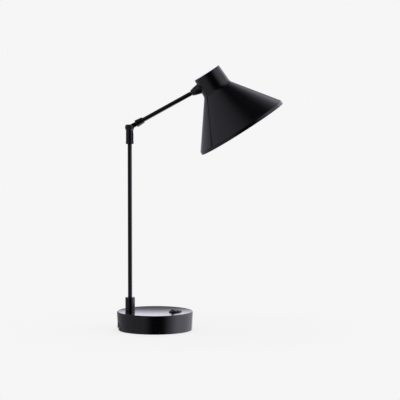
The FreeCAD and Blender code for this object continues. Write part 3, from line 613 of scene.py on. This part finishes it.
@dataclass(frozen=True)
class Finish:
    """A finish: colour, gloss, the grain that its surface has and how its edges are rubbed.

    Colours are linear. Sizes are in millimetres.
    """

    name: str
    colour: tuple[float, float, float]
    roughness: float
    grain: Grain
    grain_size: float = 1.0
    grain_depth: float = 0.01
    colour_drift: float = 0.08
    roughness_drift: float = 0.06
    metallic: float = 0.0
    index: float = 1.5
    coat: float = 0.0
    coat_roughness: float = 0.1
    anisotropic: float = 0.0
    rub: float = 0.0
    rub_reach: float = 0.3
    rub_patch: float = 5.0
    rub_polish: float = 0.03

    def make(self, textures: Textures) -> bpy.types.Material:
        """Builds the finish's material.

        Args:
            textures: The shared node groups.

        Returns:
            The material.
        """
        material = bpy.data.materials.new(self.name)
        material.diffuse_color = (*self.colour, 1.0)
        sockets = Sockets.of(material)
        place = sockets.add("ShaderNodeTexCoord").outputs["Object"]
        grain = surface = sockets.add("ShaderNodeGroup", {
            "Vector": place,
            "Size": self.grain_size * MM,
            "Colour": (*self.colour, 1.0),
            "Colour drift": self.colour_drift,
            "Roughness": self.roughness,
            "Roughness drift": self.roughness_drift,
        }, node_tree=textures.grains[self.grain])
        if self.rub:
            surface = sockets.add("ShaderNodeGroup", {
                "Vector": place,
                "Colour": grain.outputs["Colour"],
                "Rubbed colour": (*(value + self.rub for value in self.colour), 1.0),
                "Roughness": grain.outputs["Roughness"],
                "Polish": self.rub_polish,
                "Reach": self.rub_reach * MM,
                "Patch size": self.rub_patch * MM,
            }, node_tree=textures.edge_rub)
        bump = sockets.add("ShaderNodeBump", {"Strength": 1.0, "Distance": self.grain_depth * MM,
                                              "Height": grain.outputs["Height"]})
        shader = sockets.add("ShaderNodeBsdfPrincipled", {
            "Base Color": surface.outputs["Colour"],
            "Roughness": surface.outputs["Roughness"],
            "Normal": bump.outputs[0],
            "Metallic": self.metallic,
            "IOR": self.index,
            "Coat Weight": self.coat,
            "Coat Roughness": self.coat_roughness,
            "Anisotropic": self.anisotropic,
        })
        sockets.add("ShaderNodeOutputMaterial", {"Surface": shader.outputs[0]})
        return material


class Slot(Enum):
    """The record's material slots with the finish that each one has."""

    BLACK_PAINT = Finish("black_paint", (0.0020, 0.0018, 0.0025), 0.16, Grain.PEEL, 1.3, 0.003,
                         roughness_drift=0.04, rub=0.018)
    ZINC_STEEL = Finish("zinc_steel", (0.60, 0.60, 0.58), 0.34, Grain.BRUSHED, 0.12, 0.003,
                        metallic=1.0, anisotropic=0.3)
    BLACK_STEEL = Finish("black_steel", (0.016, 0.016, 0.018), 0.38, Grain.BRUSHED, 0.10, 0.003,
                         metallic=0.35, rub=0.05, rub_reach=0.2, rub_patch=1.5, rub_polish=0.08)
    CAST_IRON = Finish("cast_iron", (0.045, 0.045, 0.05), 0.72, Grain.MOULDED, 1.6, 0.12,
                       metallic=0.6, colour_drift=0.3)
    PAD_RUBBER = Finish("pad_rubber", (0.012, 0.012, 0.012), 0.78, Grain.MOULDED, 0.5, 0.03,
                        colour_drift=0.15)
    BLACK_PLASTIC = Finish("black_plastic", (0.016, 0.016, 0.017), 0.40, Grain.MOULDED, 0.35, 0.012,
                           rub=0.015, rub_reach=0.2, rub_patch=2.0, rub_polish=0.10)
    SWITCH_PLASTIC = Finish("switch_plastic", (0.007, 0.007, 0.008), 0.52, Grain.MOULDED, 0.30, 0.006,
                            rub=0.012, rub_reach=0.25, rub_patch=2.0, rub_polish=0.12)
    BRASS = Finish("brass", (0.62, 0.42, 0.14), 0.32, Grain.BRUSHED, 0.10, 0.003,
                   metallic=1.0, colour_drift=0.25)
    WHITE_NYLON = Finish("white_nylon", (0.78, 0.78, 0.74), 0.46, Grain.MOULDED, 0.4, 0.008)
    NATURAL_NYLON = Finish("natural_nylon", (0.66, 0.64, 0.56), 0.40, Grain.MOULDED, 0.4, 0.006)
    LEAD_SLEEVE = Finish("lead_sleeve", (0.012, 0.012, 0.013), 0.50, Grain.BRAIDED, 0.5, 0.05)
    BULB_METAL = Finish("bulb_metal", (0.70, 0.69, 0.66), 0.28, Grain.BRUSHED, 0.10, 0.002, metallic=1.0)
    BULB_PLASTIC = Finish("bulb_plastic", (0.80, 0.79, 0.76), 0.36, Grain.MOULDED, 0.5, 0.004)
    BULB_GLOBE = Finish("bulb_globe", (0.86, 0.86, 0.83), 0.30, Grain.PEEL, 2.0, 0.002,
                        colour_drift=0.03, coat=0.35, coat_roughness=0.12)


class Wardrobe:
    """Makes each finish once and dresses pieces and CAD nodes in it."""

    def __init__(self) -> None:
        """Makes every finish."""
        textures = Textures()
        self.materials = {slot.value.name: slot.value.make(textures) for slot in Slot}

    def dress(self, piece: bpy.types.Object, slot: Slot) -> None:
        """Gives a new piece the finish of its slot.

        Args:
            piece: The piece.
            slot: Its slot.
        """
        piece.data.materials.clear()
        piece.data.materials.append(self.materials[slot.value.name])

    def dress_nodes(self) -> int:
        """Gives every CAD node the finish of its slot.

        Returns:
            How many nodes were dressed.
        """
        subparts = frame["record"]["subparts"]
        for subpart in subparts:
            node = frame["nodes"][subpart["node"]]
            for held in node.material_slots:
                held.material = self.materials[subpart["material_slot"]]
        return len(subparts)


# The lamp's sub-assemblies, each in its own axes

POST = Stance(-46.0)
ARM = Stance(-46.0, 376.5, 90.0 - 28.98)
HEAD = Stance(95.875, 477.367, -32.6)


@dataclass(frozen=True)
class InletCover:
    """Raised face of the cord inlet, at the drum's back.

    It is flatter than the drum: nearly level with the drum at its sides, and sunk in its middle.
    """

    low: float = 0.7
    high: float = 12.9
    half_width: float = 26.4
    corner: float = 10.1
    drum_radius: float = 68.9
    drum_slope: float = 0.0551
    drum_low: float = 0.5
    sunk: float = 1.05
    plate_sunk: float = 1.15
    bend: float = 82.4
    grip: float = 0.4
    rows: int = 28
    columns: int = 48

    def build(self, wardrobe: Wardrobe) -> bpy.types.Object:
        """Builds the cover: an arched outline on a front and a back, both bent about upright axes.

        At a height, the outline's half width is the whole one less what the corner's circle takes off.
        The front is x = r0 + bend - sqrt(bend^2 - y^2), where r0 is its middle. The back is the plate's
        own face, x = -sqrt(r^2 - y^2), moved into the plate by the grip.

        Args:
            wardrobe: The finishes.

        Returns:
            The cover.
        """
        rise = np.sin(np.linspace(0.0, math.pi / 2, self.rows + 1))[:, None]
        z = self.low + rise * (self.high - self.low)
        above = np.maximum(z - (self.high - self.corner), 0.0)
        half = self.half_width - self.corner + np.sqrt(self.corner ** 2 - above ** 2)
        y = half * np.linspace(-1.0, 1.0, self.columns + 1)[None, :]
        z = np.broadcast_to(z, y.shape)
        drum = self.drum_radius + (z - self.drum_low) * self.drum_slope
        front = np.stack([self.sunk - drum + self.bend - np.sqrt(self.bend ** 2 - y ** 2), y, z], axis=-1)
        back = np.stack([self.grip - np.sqrt((drum - self.plate_sunk) ** 2 - y ** 2), y, z], axis=-1)
        skin = Skin()
        for patch in (
            front[:, ::-1], back,
            np.stack([front[:, 0], back[:, 0]], axis=1), np.stack([back[:, -1], front[:, -1]], axis=1),
            np.stack([front[-1, ::-1], back[-1, ::-1]]), np.stack([front[0], back[0]]),
        ):
            skin.grid(patch, closed=False)
        cover = skin.build("Inlet_cover")
        wardrobe.dress(cover, Slot.BLACK_PLASTIC)
        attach(cover, "base")
        return cover


@dataclass(frozen=True)
class Tube:
    """Round tube along Z with eased outer edges."""

    stance: Stance
    low: float
    high: float
    radius: float = 4.0
    bore: float = 3.0
    edge: float = 0.3

    def skin(self) -> Skin:
        """Turns a closed outline of the wall about the axis.

        Returns:
            The tube's surface.
        """
        skin = Skin(self.stance)
        skin.turned(Outline.rounded([
            Corner(self.bore, self.low), Corner(self.radius, self.low, self.edge),
            Corner(self.radius, self.high, self.edge), Corner(self.bore, self.high),
        ], closed=True), steps=64)
        return skin


@dataclass(frozen=True)
class Post(Tube):
    """Upright tube between the base and the swivel."""

    stance: Stance = POST
    low: float = 20.0
    high: float = 351.45

    def build(self, wardrobe: Wardrobe) -> bpy.types.Object:
        """Builds the post.

        Args:
            wardrobe: The finishes.

        Returns:
            The tube.
        """
        tube = self.skin().build("Post_tube")
        wardrobe.dress(tube, Slot.BLACK_PAINT)
        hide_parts("post_tube")
        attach(tube, "base")
        return tube


@dataclass(frozen=True)
class Arm(Tube):
    """Tube of the tilting arm."""

    stance: Stance = ARM
    low: float = 16.55
    high: float = 129.24

    def build(self, wardrobe: Wardrobe) -> bpy.types.Object:
        """Builds the arm.

        Args:
            wardrobe: The finishes.

        Returns:
            The tube.
        """
        tube = self.skin().build("Arm_tube")
        wardrobe.dress(tube, Slot.BLACK_PAINT)
        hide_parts("arm_tube")
        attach(tube, "arm")
        return tube


@dataclass(frozen=True)
class Cup:
    """Bell-shaped cup that holds the ball; its mouth hugs the shade's neck. Z runs along the arm."""

    stance: Stance = ARM
    ball: float = 137.04
    back: float = 7.0
    back_r: float = 5.1
    waist_ahead: float = 0.6
    waist_r: float = 7.7
    waist_round: float = 40.0
    mouth_ahead: float = 9.7
    mouth_r: float = 9.75
    edge: float = 0.4
    hole_r: float = 4.1
    pocket_r: float = 6.42
    plug_ahead: float = 2.15
    plug_r: float = 7.25
    neck_r: float = 26.55
    neck_flare: float = 3.0
    tries: int = 8

    def _hug(self, points: np.ndarray) -> np.ndarray:
        """Stretches the part past the ball along the arm until its mouth lies on the neck.

        Each point's line along the arm is followed until it is as far from the shade's axis as the
        neck's surface, whose radius grows with the drop below the shade's top.

        Args:
            points: Points in the arm's axes.

        Returns:
            The moved points.
        """
        start = self.ball + self.plug_ahead
        flare = math.tan(math.radians(self.neck_flare))
        touch = points.copy()
        touch[..., 2] = self.ball + self.mouth_ahead
        for _ in range(self.tries):
            seen = HEAD.within(self.stance.place(touch))
            surface = self.neck_r - seen[..., 2] * flare
            touch[..., 2] += np.hypot(seen[..., 0], seen[..., 1]) - surface
        share = np.clip((points[..., 2] - start) / (self.mouth_ahead - self.plug_ahead), 0.0, 1.0)
        moved = points.copy()
        moved[..., 2] += share * (touch[..., 2] - self.ball - self.mouth_ahead)
        return moved

    def build(self, wardrobe: Wardrobe) -> bpy.types.Object:
        """Builds the cup: the plug's seat, the ball's pocket, the small end and the bell, turned.

        Args:
            wardrobe: The finishes.

        Returns:
            The cup.
        """
        small, mouth = self.ball - self.back, self.ball + self.mouth_ahead
        seat = self.ball + self.plug_ahead
        outline = Outline.rounded([
            Corner(self.plug_r, mouth), Corner(self.plug_r, seat),
            Corner(self.pocket_r, seat), Corner(self.pocket_r, self.ball),
        ])
        hole_angle = math.degrees(math.acos(self.hole_r / self.pocket_r))
        outline.arc(np.array([0.0, self.ball]), self.pocket_r, 0.0, -hole_angle)
        outline.then(Outline.rounded([
            Corner(self.hole_r, small + self.edge), Corner(self.hole_r, small, self.edge / 2),
            Corner(self.back_r, small, self.edge),
            Corner(self.waist_r, self.ball + self.waist_ahead, self.waist_round),
            Corner(self.mouth_r, mouth), Corner(self.plug_r, mouth),
        ], step=2.0))
        skin = Skin(self.stance)
        skin.turned(outline, warp=self._hug)
        cup = skin.build("Head_cup")
        wardrobe.dress(cup, Slot.BLACK_PAINT)
        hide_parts("head_cup")
        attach(cup, "head")
        return cup


@dataclass(frozen=True)
class Shade:
    """Spun shade: a short neck with a flat top, a cone and a narrow lip. Its axis is Z, its top at 0."""

    stance: Stance = HEAD
    wall: float = 0.9
    neck_r: float = 26.5
    neck_flare: float = 3.0
    neck_edge: float = 1.2
    least_edge: float = 0.2
    join_round: float = 12.0
    cone_angle: float = 36.7
    foot_r: float = 88.5
    foot: float = 117.0
    rim_r: float = 89.0
    rim_round: float = 1.0
    rim_edge: float = 0.3
    length: float = 123.0

    def corners(self, inset: float) -> list[Corner]:
        """Corners of the wall's outside, moved inwards along each face's normal.

        Args:
            inset: How far inside the outside face.

        Returns:
            Corners from the top's edge down to the rim.
        """
        flare, cone = math.radians(self.neck_flare), math.radians(self.cone_angle)
        top_r = self.neck_r - inset / math.cos(flare)
        foot_r = self.foot_r - inset / math.cos(cone)
        join = (foot_r - self.foot * math.tan(cone) - top_r) / (math.tan(flare) - math.tan(cone))
        lip_r = self.foot_r - inset
        lip_join = self.foot + (lip_r - foot_r) / math.tan(cone)
        return [
            Corner(top_r + inset * math.tan(flare), -inset, max(self.neck_edge - inset, self.least_edge)),
            Corner(top_r + join * math.tan(flare), -join, self.join_round + inset),
            Corner(lip_r, -lip_join, self.rim_round),
            Corner(self.rim_r - inset, -self.length, self.rim_edge),
        ]

    def build(self, wardrobe: Wardrobe) -> bpy.types.Object:
        """Builds the shade: its wall's outline, up the outside and down the inside, turned.

        Args:
            wardrobe: The finishes.

        Returns:
            The shade.
        """
        outside = self.corners(0.0)
        inside = self.corners(self.wall)
        rim_r = inside[-1].r
        skin = Skin(self.stance)
        for path in (
            [Corner(rim_r, -self.length)] + outside[::-1] + [Corner(0.0, 0.0)],
            [Corner(0.0, -self.wall)] + inside[:-1] + [Corner(rim_r, -self.length)],
        ):
            skin.turned(Outline.rounded(path, step=4.0), steps=192)
        shade = skin.build("Shade")
        wardrobe.dress(shade, Slot.BLACK_PAINT)
        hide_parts("shade")
        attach(shade, "head")
        return shade


@dataclass(frozen=True)
class Lampholder:
    """Moulded lampholder body with grip ribs round it. Its axis is the shade's."""

    stance: Stance = HEAD
    top: float = 22.0
    end: float = 50.0
    radius: float = 13.5
    edge: float = 1.2
    bore: float = 7.95
    bore_edge: float = 0.4
    floor: float = 26.0
    rib_count: int = 36
    rib_depth: float = 0.35
    rib_low: float = 27.5
    rib_high: float = 44.0
    rib_ease: float = 1.5
    rib_faces: int = 10
    # Rows of faces on the plain end, the slope, the ribs, the slope and the plain end
    rows: tuple[int, ...] = (2, 6, 3, 6, 2)

    def build(self, wardrobe: Wardrobe) -> bpy.types.Object:
        """Builds the body.

        Its side is radius - depth * window(z) * (1 - |cos(ribs * a / 2)|), where the window rises and
        falls smoothly near the ribs' ends; the rest is an outline turned about the axis.

        Args:
            wardrobe: The finishes.

        Returns:
            The body.
        """
        steps = self.rib_count * self.rib_faces
        stops = (self.end - self.edge, self.rib_high, self.rib_high - self.rib_ease,
                 self.rib_low + self.rib_ease, self.rib_low, self.top + self.edge)
        runs = [np.linspace(start, end, count, endpoint=False)
                for start, end, count in zip(stops, stops[1:], self.rows)]
        drop = np.concatenate([*runs, stops[-1:]])
        window = Skin.window(drop, self.rib_low, self.rib_high, self.rib_ease)
        groove = 1 - np.abs(np.cos(self.rib_count * Skin.circle(steps) / 2))
        skin = Skin(self.stance)
        skin.side(self.radius - self.rib_depth * window[:, None] * groove[None], drop)
        top = Outline()
        top.arc(np.array([self.radius - self.edge, -self.top - self.edge]), self.edge, 0.0, 90.0)
        top.line(top.points[-1], np.array([0.0, -self.top]))
        skin.turned(top, steps)
        mouth = Outline.rounded([
            Corner(0.0, -self.floor), Corner(self.bore, -self.floor),
            Corner(self.bore, -self.end, self.bore_edge), Corner(self.radius - self.edge, -self.end),
        ])
        mouth.arc(np.array([self.radius - self.edge, -self.end + self.edge]), self.edge, -90.0, 0.0)
        skin.turned(mouth, steps)
        body = skin.build("Lampholder_body")
        wardrobe.dress(body, Slot.BLACK_PLASTIC)
        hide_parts("lampholder_body")
        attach(body, "head")
        return body


@dataclass(frozen=True)
class Bulb:
    """Small bulb: a screw cap, a white collar and an opal globe. Its axis is the shade's."""

    stance: Stance = HEAD
    cap_top: float = 28.15
    cap_end: float = 47.95
    cap_r: float = 6.9
    cap_wall: float = 0.6
    cap_rows: int = 96
    tip_r: float = 3.0
    tip_h: float = 1.8
    tip_edge: float = 0.5
    shoulder_h: float = 1.5
    thread_pitch: float = 2.82
    thread_depth: float = 0.55
    thread_ease: float = 1.2
    thread_clear: float = 2.0
    collar_r: float = 7.5
    collar_edge: float = 0.8
    collar_straight: float = 51.0
    collar_bend: float = 2.0
    collar_waist: float = 57.0
    collar_waist_r: float = 9.0
    collar_waist_round: float = 8.0
    collar_end: float = 67.95
    collar_end_r: float = 15.82
    globe_r: float = 22.5
    globe_centre: float = 83.95
    globe_wall: float = 0.8
    globe_step: float = 2.5

    def globe(self, wardrobe: Wardrobe) -> bpy.types.Object:
        """Builds the globe: two arcs about its centre, joined at its cut edge, turned.

        Args:
            wardrobe: The finishes.

        Returns:
            The globe.
        """
        centre = np.array([0.0, -self.globe_centre])
        rise = self.globe_centre - self.collar_end
        inner_r = self.globe_r - self.globe_wall
        outer_end, inner_end = (math.degrees(math.asin(rise / r)) for r in (self.globe_r, inner_r))
        outline, inside = Outline(), Outline()
        outline.arc(centre, self.globe_r, -90.0, outer_end, self.globe_step)
        inside.arc(centre, inner_r, inner_end, -90.0, self.globe_step)
        outline.then(inside)
        skin = Skin(self.stance)
        skin.turned(outline, steps=144)
        globe = skin.build("Bulb_globe")
        wardrobe.dress(globe, Slot.BULB_GLOBE)
        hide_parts("bulb_globe")
        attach(globe, "head")
        return globe

    def collar(self, wardrobe: Wardrobe) -> bpy.types.Object:
        """Builds the collar: a solid outline that widens from the cap to the globe, turned.

        Args:
            wardrobe: The finishes.

        Returns:
            The collar.
        """
        skin = Skin(self.stance)
        skin.turned(Outline.rounded([
            Corner(0.0, -self.collar_end), Corner(self.collar_end_r, -self.collar_end),
            Corner(self.collar_waist_r, -self.collar_waist, self.collar_waist_round),
            Corner(self.collar_r, -self.collar_straight, self.collar_bend),
            Corner(self.collar_r, -self.cap_end, self.collar_edge), Corner(0.0, -self.cap_end),
        ], step=6.0))
        collar = skin.build("Bulb_collar")
        wardrobe.dress(collar, Slot.BULB_PLASTIC)
        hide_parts("bulb_collar")
        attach(collar, "head")
        return collar

    def cap(self, wardrobe: Wardrobe) -> bpy.types.Object:
        """Builds the screw cap.

        Its thread is radius - depth * window(z) * (1 - cos(2 pi z / pitch + a)) / 2, a wave that climbs
        one pitch in each turn; the window keeps both ends round.

        Args:
            wardrobe: The finishes.

        Returns:
            The cap.
        """
        slope_end = self.cap_top + self.tip_h + self.shoulder_h
        drop = np.linspace(self.cap_end, slope_end, self.cap_rows + 1)
        window = Skin.window(drop, slope_end, self.cap_end - self.thread_clear, self.thread_ease)
        wave = (1 - np.cos(2 * math.pi * drop[:, None] / self.thread_pitch + Skin.circle(96)[None])) / 2
        skin = Skin(self.stance)
        skin.side(self.cap_r - self.thread_depth * window[:, None] * wave, drop)
        skin.turned(Outline.rounded([
            Corner(self.cap_r, -slope_end), Corner(self.tip_r, -self.cap_top - self.tip_h),
            Corner(self.tip_r, -self.cap_top, self.tip_edge), Corner(0.0, -self.cap_top),
        ]))
        inner_r = self.cap_r - self.thread_depth - self.cap_wall
        skin.turned(Outline.rounded([
            Corner(0.0, -slope_end - self.cap_wall), Corner(inner_r, -slope_end - self.cap_wall),
            Corner(inner_r, -self.cap_end), Corner(self.cap_r, -self.cap_end),
        ]))
        cap = skin.build("Bulb_cap")
        wardrobe.dress(cap, Slot.BULB_METAL)
        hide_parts("bulb_cap")
        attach(cap, "head")
        return cap


# Camera, floor and light

@dataclass(frozen=True)
class View:
    """Camera: where it stands, what it looks at and its lens. Metres, and millimetres for the lens."""

    place: tuple[float, float, float] = (0.0837, -4.5, 0.65)
    target: tuple[float, float, float] = (0.0837, 0.0, 0.242)
    lens: float = 219.8
    sensor: float = 36.0
    near: float = 0.05
    far: float = 60.0

    def build(self) -> bpy.types.Object:
        """Makes the camera, level and aimed at its target, and gives it to the scene.

        Returns:
            The camera.
        """
        data = bpy.data.cameras.new("View")
        data.lens = self.lens
        data.sensor_width = self.sensor
        data.clip_start, data.clip_end = self.near, self.far
        camera = bpy.data.objects.new("View", data)
        camera.location = self.place
        x, y, z = (end - start for start, end in zip(self.place, self.target))
        camera.rotation_euler = (math.pi / 2 + math.atan2(z, math.hypot(x, y)), 0.0, -math.atan2(x, y))
        bpy.context.scene.collection.objects.link(camera)
        bpy.context.scene.camera = camera
        return camera


Stops = tuple[tuple[float, float], ...]


@dataclass(frozen=True)
class Studio:
    """A pale room: soft panels on its sides, a white backdrop, a dim ceiling and a pale floor."""

    white: float = 0.92
    # Glow of the walls against the bearing from the camera, in degrees towards the right
    panels: Stops = (
        (-180, 1.80), (-173, 1.50), (-166, 0.66), (-158, 0.31), (-148, 0.29), (-136, 0.34), (-36, 0.34),
        (-27, 0.265), (-18, 0.11), (-9, 0.03), (-2, 0.010), (20, 0.006), (29, 0.045), (38, 0.31), (48, 0.68),
        (58, 1.12), (69, 1.66), (80, 1.80), (93, 1.65), (107, 1.44), (125, 1.22), (138, 1.10), (150, 0.52),
        (158, 0.98), (166, 1.35), (174, 1.70), (180, 1.80),
    )
    glow_top: float = 2.0
    # What is left of the glow against the height above the horizon, in degrees
    left: Stops = (
        (-24, 1.12), (-12, 1.10), (-5, 1.02), (2, 1.22), (14, 1.38), (28, 1.38), (38, 1.28), (46, 1.08),
        (52, 0.90), (57, 0.76), (64, 0.43), (72, 0.16), (80, 0.08),
    )
    right: Stops = (
        (-10, 1.0), (-5, 1.0), (4, 0.90), (9, 1.15), (13, 1.45), (22, 1.50), (28, 0.92), (34, 0.56),
        (40, 0.51), (48, 0.46), (57, 0.38), (64, 0.23), (72, 0.06), (80, 0.03),
    )
    behind: Stops = (
        (-40, 0.25), (-12, 0.35), (-6, 0.50), (-2, 0.70), (0, 0.90), (3, 0.87), (5, 0.77), (7, 0.71),
        (9, 0.61), (11, 0.20), (13, 0.07), (22, 0.07), (30, 0.30), (38, 0.66), (48, 0.60), (60, 0.50),
        (72, 0.20),
    )
    behind_from: tuple[float, float] = (158.0, 173.0)
    climb_top: float = 1.6
    tint: tuple[float, float, float] = (1.0, 0.985, 1.115)
    ceiling: float = 0.03
    ceiling_from: tuple[float, float] = (74.0, 84.0)
    paper: float = 0.9
    floor_size: float = 6.0
    floor_points: int = 9
    shadow_share: float = 0.16
    shadow_near: float = 0.10
    shadow_far: float = 0.55
    lamp_height: float = 2.4
    lamp_size: float = 2.4
    lamp_power: float = 42.0

    @staticmethod
    def _curve(sockets: Sockets, angle: object, stops: Stops, top: float) -> Socket:
        """Places a value that goes straight from stop to stop.

        Args:
            sockets: The tree's node maker.
            angle: Socket with an angle in radians.
            stops: Angles in degrees, in order, with the value at each.
            top: Value that the ramp's 1 stands for.

        Returns:
            The value's socket.
        """
        first, last = stops[0][0], stops[-1][0]
        share = sockets.spread(angle, math.radians(first), math.radians(last), 0.0, 1.0)
        ramp = sockets.add("ShaderNodeValToRGB", {"Fac": share})
        made = ramp.color_ramp.elements
        for index, (degrees, value) in enumerate(stops):
            position = (degrees - first) / (last - first)
            stop = made[0 if index == 0 else -1] if index in (0, len(stops) - 1) else made.new(position)
            stop.position = position
            stop.color = (*(value / top,) * 3, 1.0)
        return sockets.math("MULTIPLY", ramp.outputs[0], top)

    def world(self) -> None:
        """Makes the room's walls.

        The camera sees plain white. Every other ray sees the wall's glow for its bearing, times a share
        for its height that differs to the left, to the right and behind the lamp. High up, the glow
        fades to the ceiling's.
        """
        world = bpy.data.worlds.new("Studio")
        bpy.context.scene.world = world
        sockets = Sockets.of(world)
        ray = sockets.add("ShaderNodeTexCoord").outputs["Generated"]
        x, y, z = sockets.add("ShaderNodeSeparateXYZ", {0: ray}).outputs
        bearing = sockets.math("ARCTAN2", x, sockets.math("MULTIPLY", y, -1.0))
        climb = sockets.math("ARCSINE", z)
        left, right, behind = (self._curve(sockets, climb, stops, self.climb_top)
                               for stops in (self.left, self.right, self.behind))
        side = sockets.mix(sockets.math("GREATER_THAN", bearing, 0.0), left, right)
        to_behind = sockets.spread(sockets.math("ABSOLUTE", bearing), *np.radians(self.behind_from),
                                   0.0, 1.0, smooth=True)
        walls = sockets.math("MULTIPLY", self._curve(sockets, bearing, self.panels, self.glow_top),
                             sockets.mix(to_behind, side, behind))
        height = sockets.spread(climb, *np.radians(self.ceiling_from), 0.0, 1.0, smooth=True)
        room = sockets.mix(height, walls, self.ceiling)
        camera_ray = sockets.add("ShaderNodeLightPath").outputs["Is Camera Ray"]
        seen = sockets.mix(camera_ray, room, self.white)
        shade = sockets.mix(camera_ray, (*self.tint, 1.0), (1.0, 1.0, 1.0, 1.0), colours=True)
        glow = sockets.add("ShaderNodeBackground", {"Color": shade, "Strength": seen})
        sockets.add("ShaderNodeOutputWorld", {"Surface": glow.outputs[0]})

    def floor(self) -> bpy.types.Object:
        """Makes the floor: a flat pale sheet that keeps the lamp's soft shadow near the base.

        Its height is zero everywhere. Reflections pass it, so the paint shows the room's walls.

        Returns:
            The floor.
        """
        side = np.linspace(-self.floor_size / 2, self.floor_size / 2, self.floor_points)
        x, y = np.meshgrid(side, side)
        skin = Skin()
        skin.grid(np.stack([x, y, np.zeros_like(x)], axis=-1) / MM, closed=False)
        floor = skin.build("Floor")
        material = bpy.data.materials.new("Floor")
        sockets = Sockets.of(material)
        place = sockets.add("ShaderNodeTexCoord").outputs["Object"]
        reach = sockets.add("ShaderNodeVectorMath", {0: place}, operation="LENGTH").outputs["Value"]
        share = sockets.spread(reach, self.shadow_near, self.shadow_far, self.shadow_share, 0.0, smooth=True)
        paper = sockets.add("ShaderNodeBsdfDiffuse", {"Color": (*(self.paper,) * 3, 1.0)}).outputs[0]
        plain = sockets.add("ShaderNodeEmission", {"Color": (*(self.white,) * 3, 1.0), "Strength": 1.0})
        rays = sockets.add("ShaderNodeLightPath").outputs
        seen = sockets.add("ShaderNodeMixShader", {0: share, 1: plain.outputs[0], 2: paper})
        lit = sockets.add("ShaderNodeMixShader", {0: rays["Is Camera Ray"], 1: paper, 2: seen.outputs[0]})
        clear = sockets.add("ShaderNodeBsdfTransparent")
        passing = sockets.math("MAXIMUM", rays["Is Glossy Ray"], rays["Is Shadow Ray"])
        final = sockets.add("ShaderNodeMixShader", {0: passing, 1: lit.outputs[0], 2: clear.outputs[0]})
        sockets.add("ShaderNodeOutputMaterial", {"Surface": final.outputs[0]})
        floor.data.materials.append(material)
        return floor

    def lamp(self) -> bpy.types.Object:
        """Makes the soft panel overhead, which lights the floor and leaves no mirror image of itself.

        Returns:
            The panel.
        """
        data = bpy.data.lights.new("Overhead", "AREA")
        data.shape = "SQUARE"
        data.size = self.lamp_size
        data.energy = self.lamp_power
        panel = bpy.data.objects.new("Overhead", data)
        panel.location = (0.0, 0.0, self.lamp_height)
        panel.visible_glossy = False
        bpy.context.scene.collection.objects.link(panel)
        return panel


def main() -> None:
    """Builds the lamp, dresses it and sets up the studio round it."""
    logging.basicConfig(level=logging.INFO, format="%(name)s: %(message)s")
    bpy.context.scene.view_settings.view_transform = "Standard"
    wardrobe = Wardrobe()
    LOG.info("dressed %d CAD nodes", wardrobe.dress_nodes())
    bulb = Bulb()
    for build in (InletCover().build, Post().build, Arm().build, Cup().build, Shade().build,
                  Lampholder().build, bulb.cap, bulb.collar, bulb.globe):
        piece = build(wardrobe)
        LOG.info("%s: %d faces", piece.name, len(piece.data.polygons))
    studio = Studio()
    studio.world()
    studio.floor()
    studio.lamp()
    View().build()


if __name__ == "__main__":
    main()
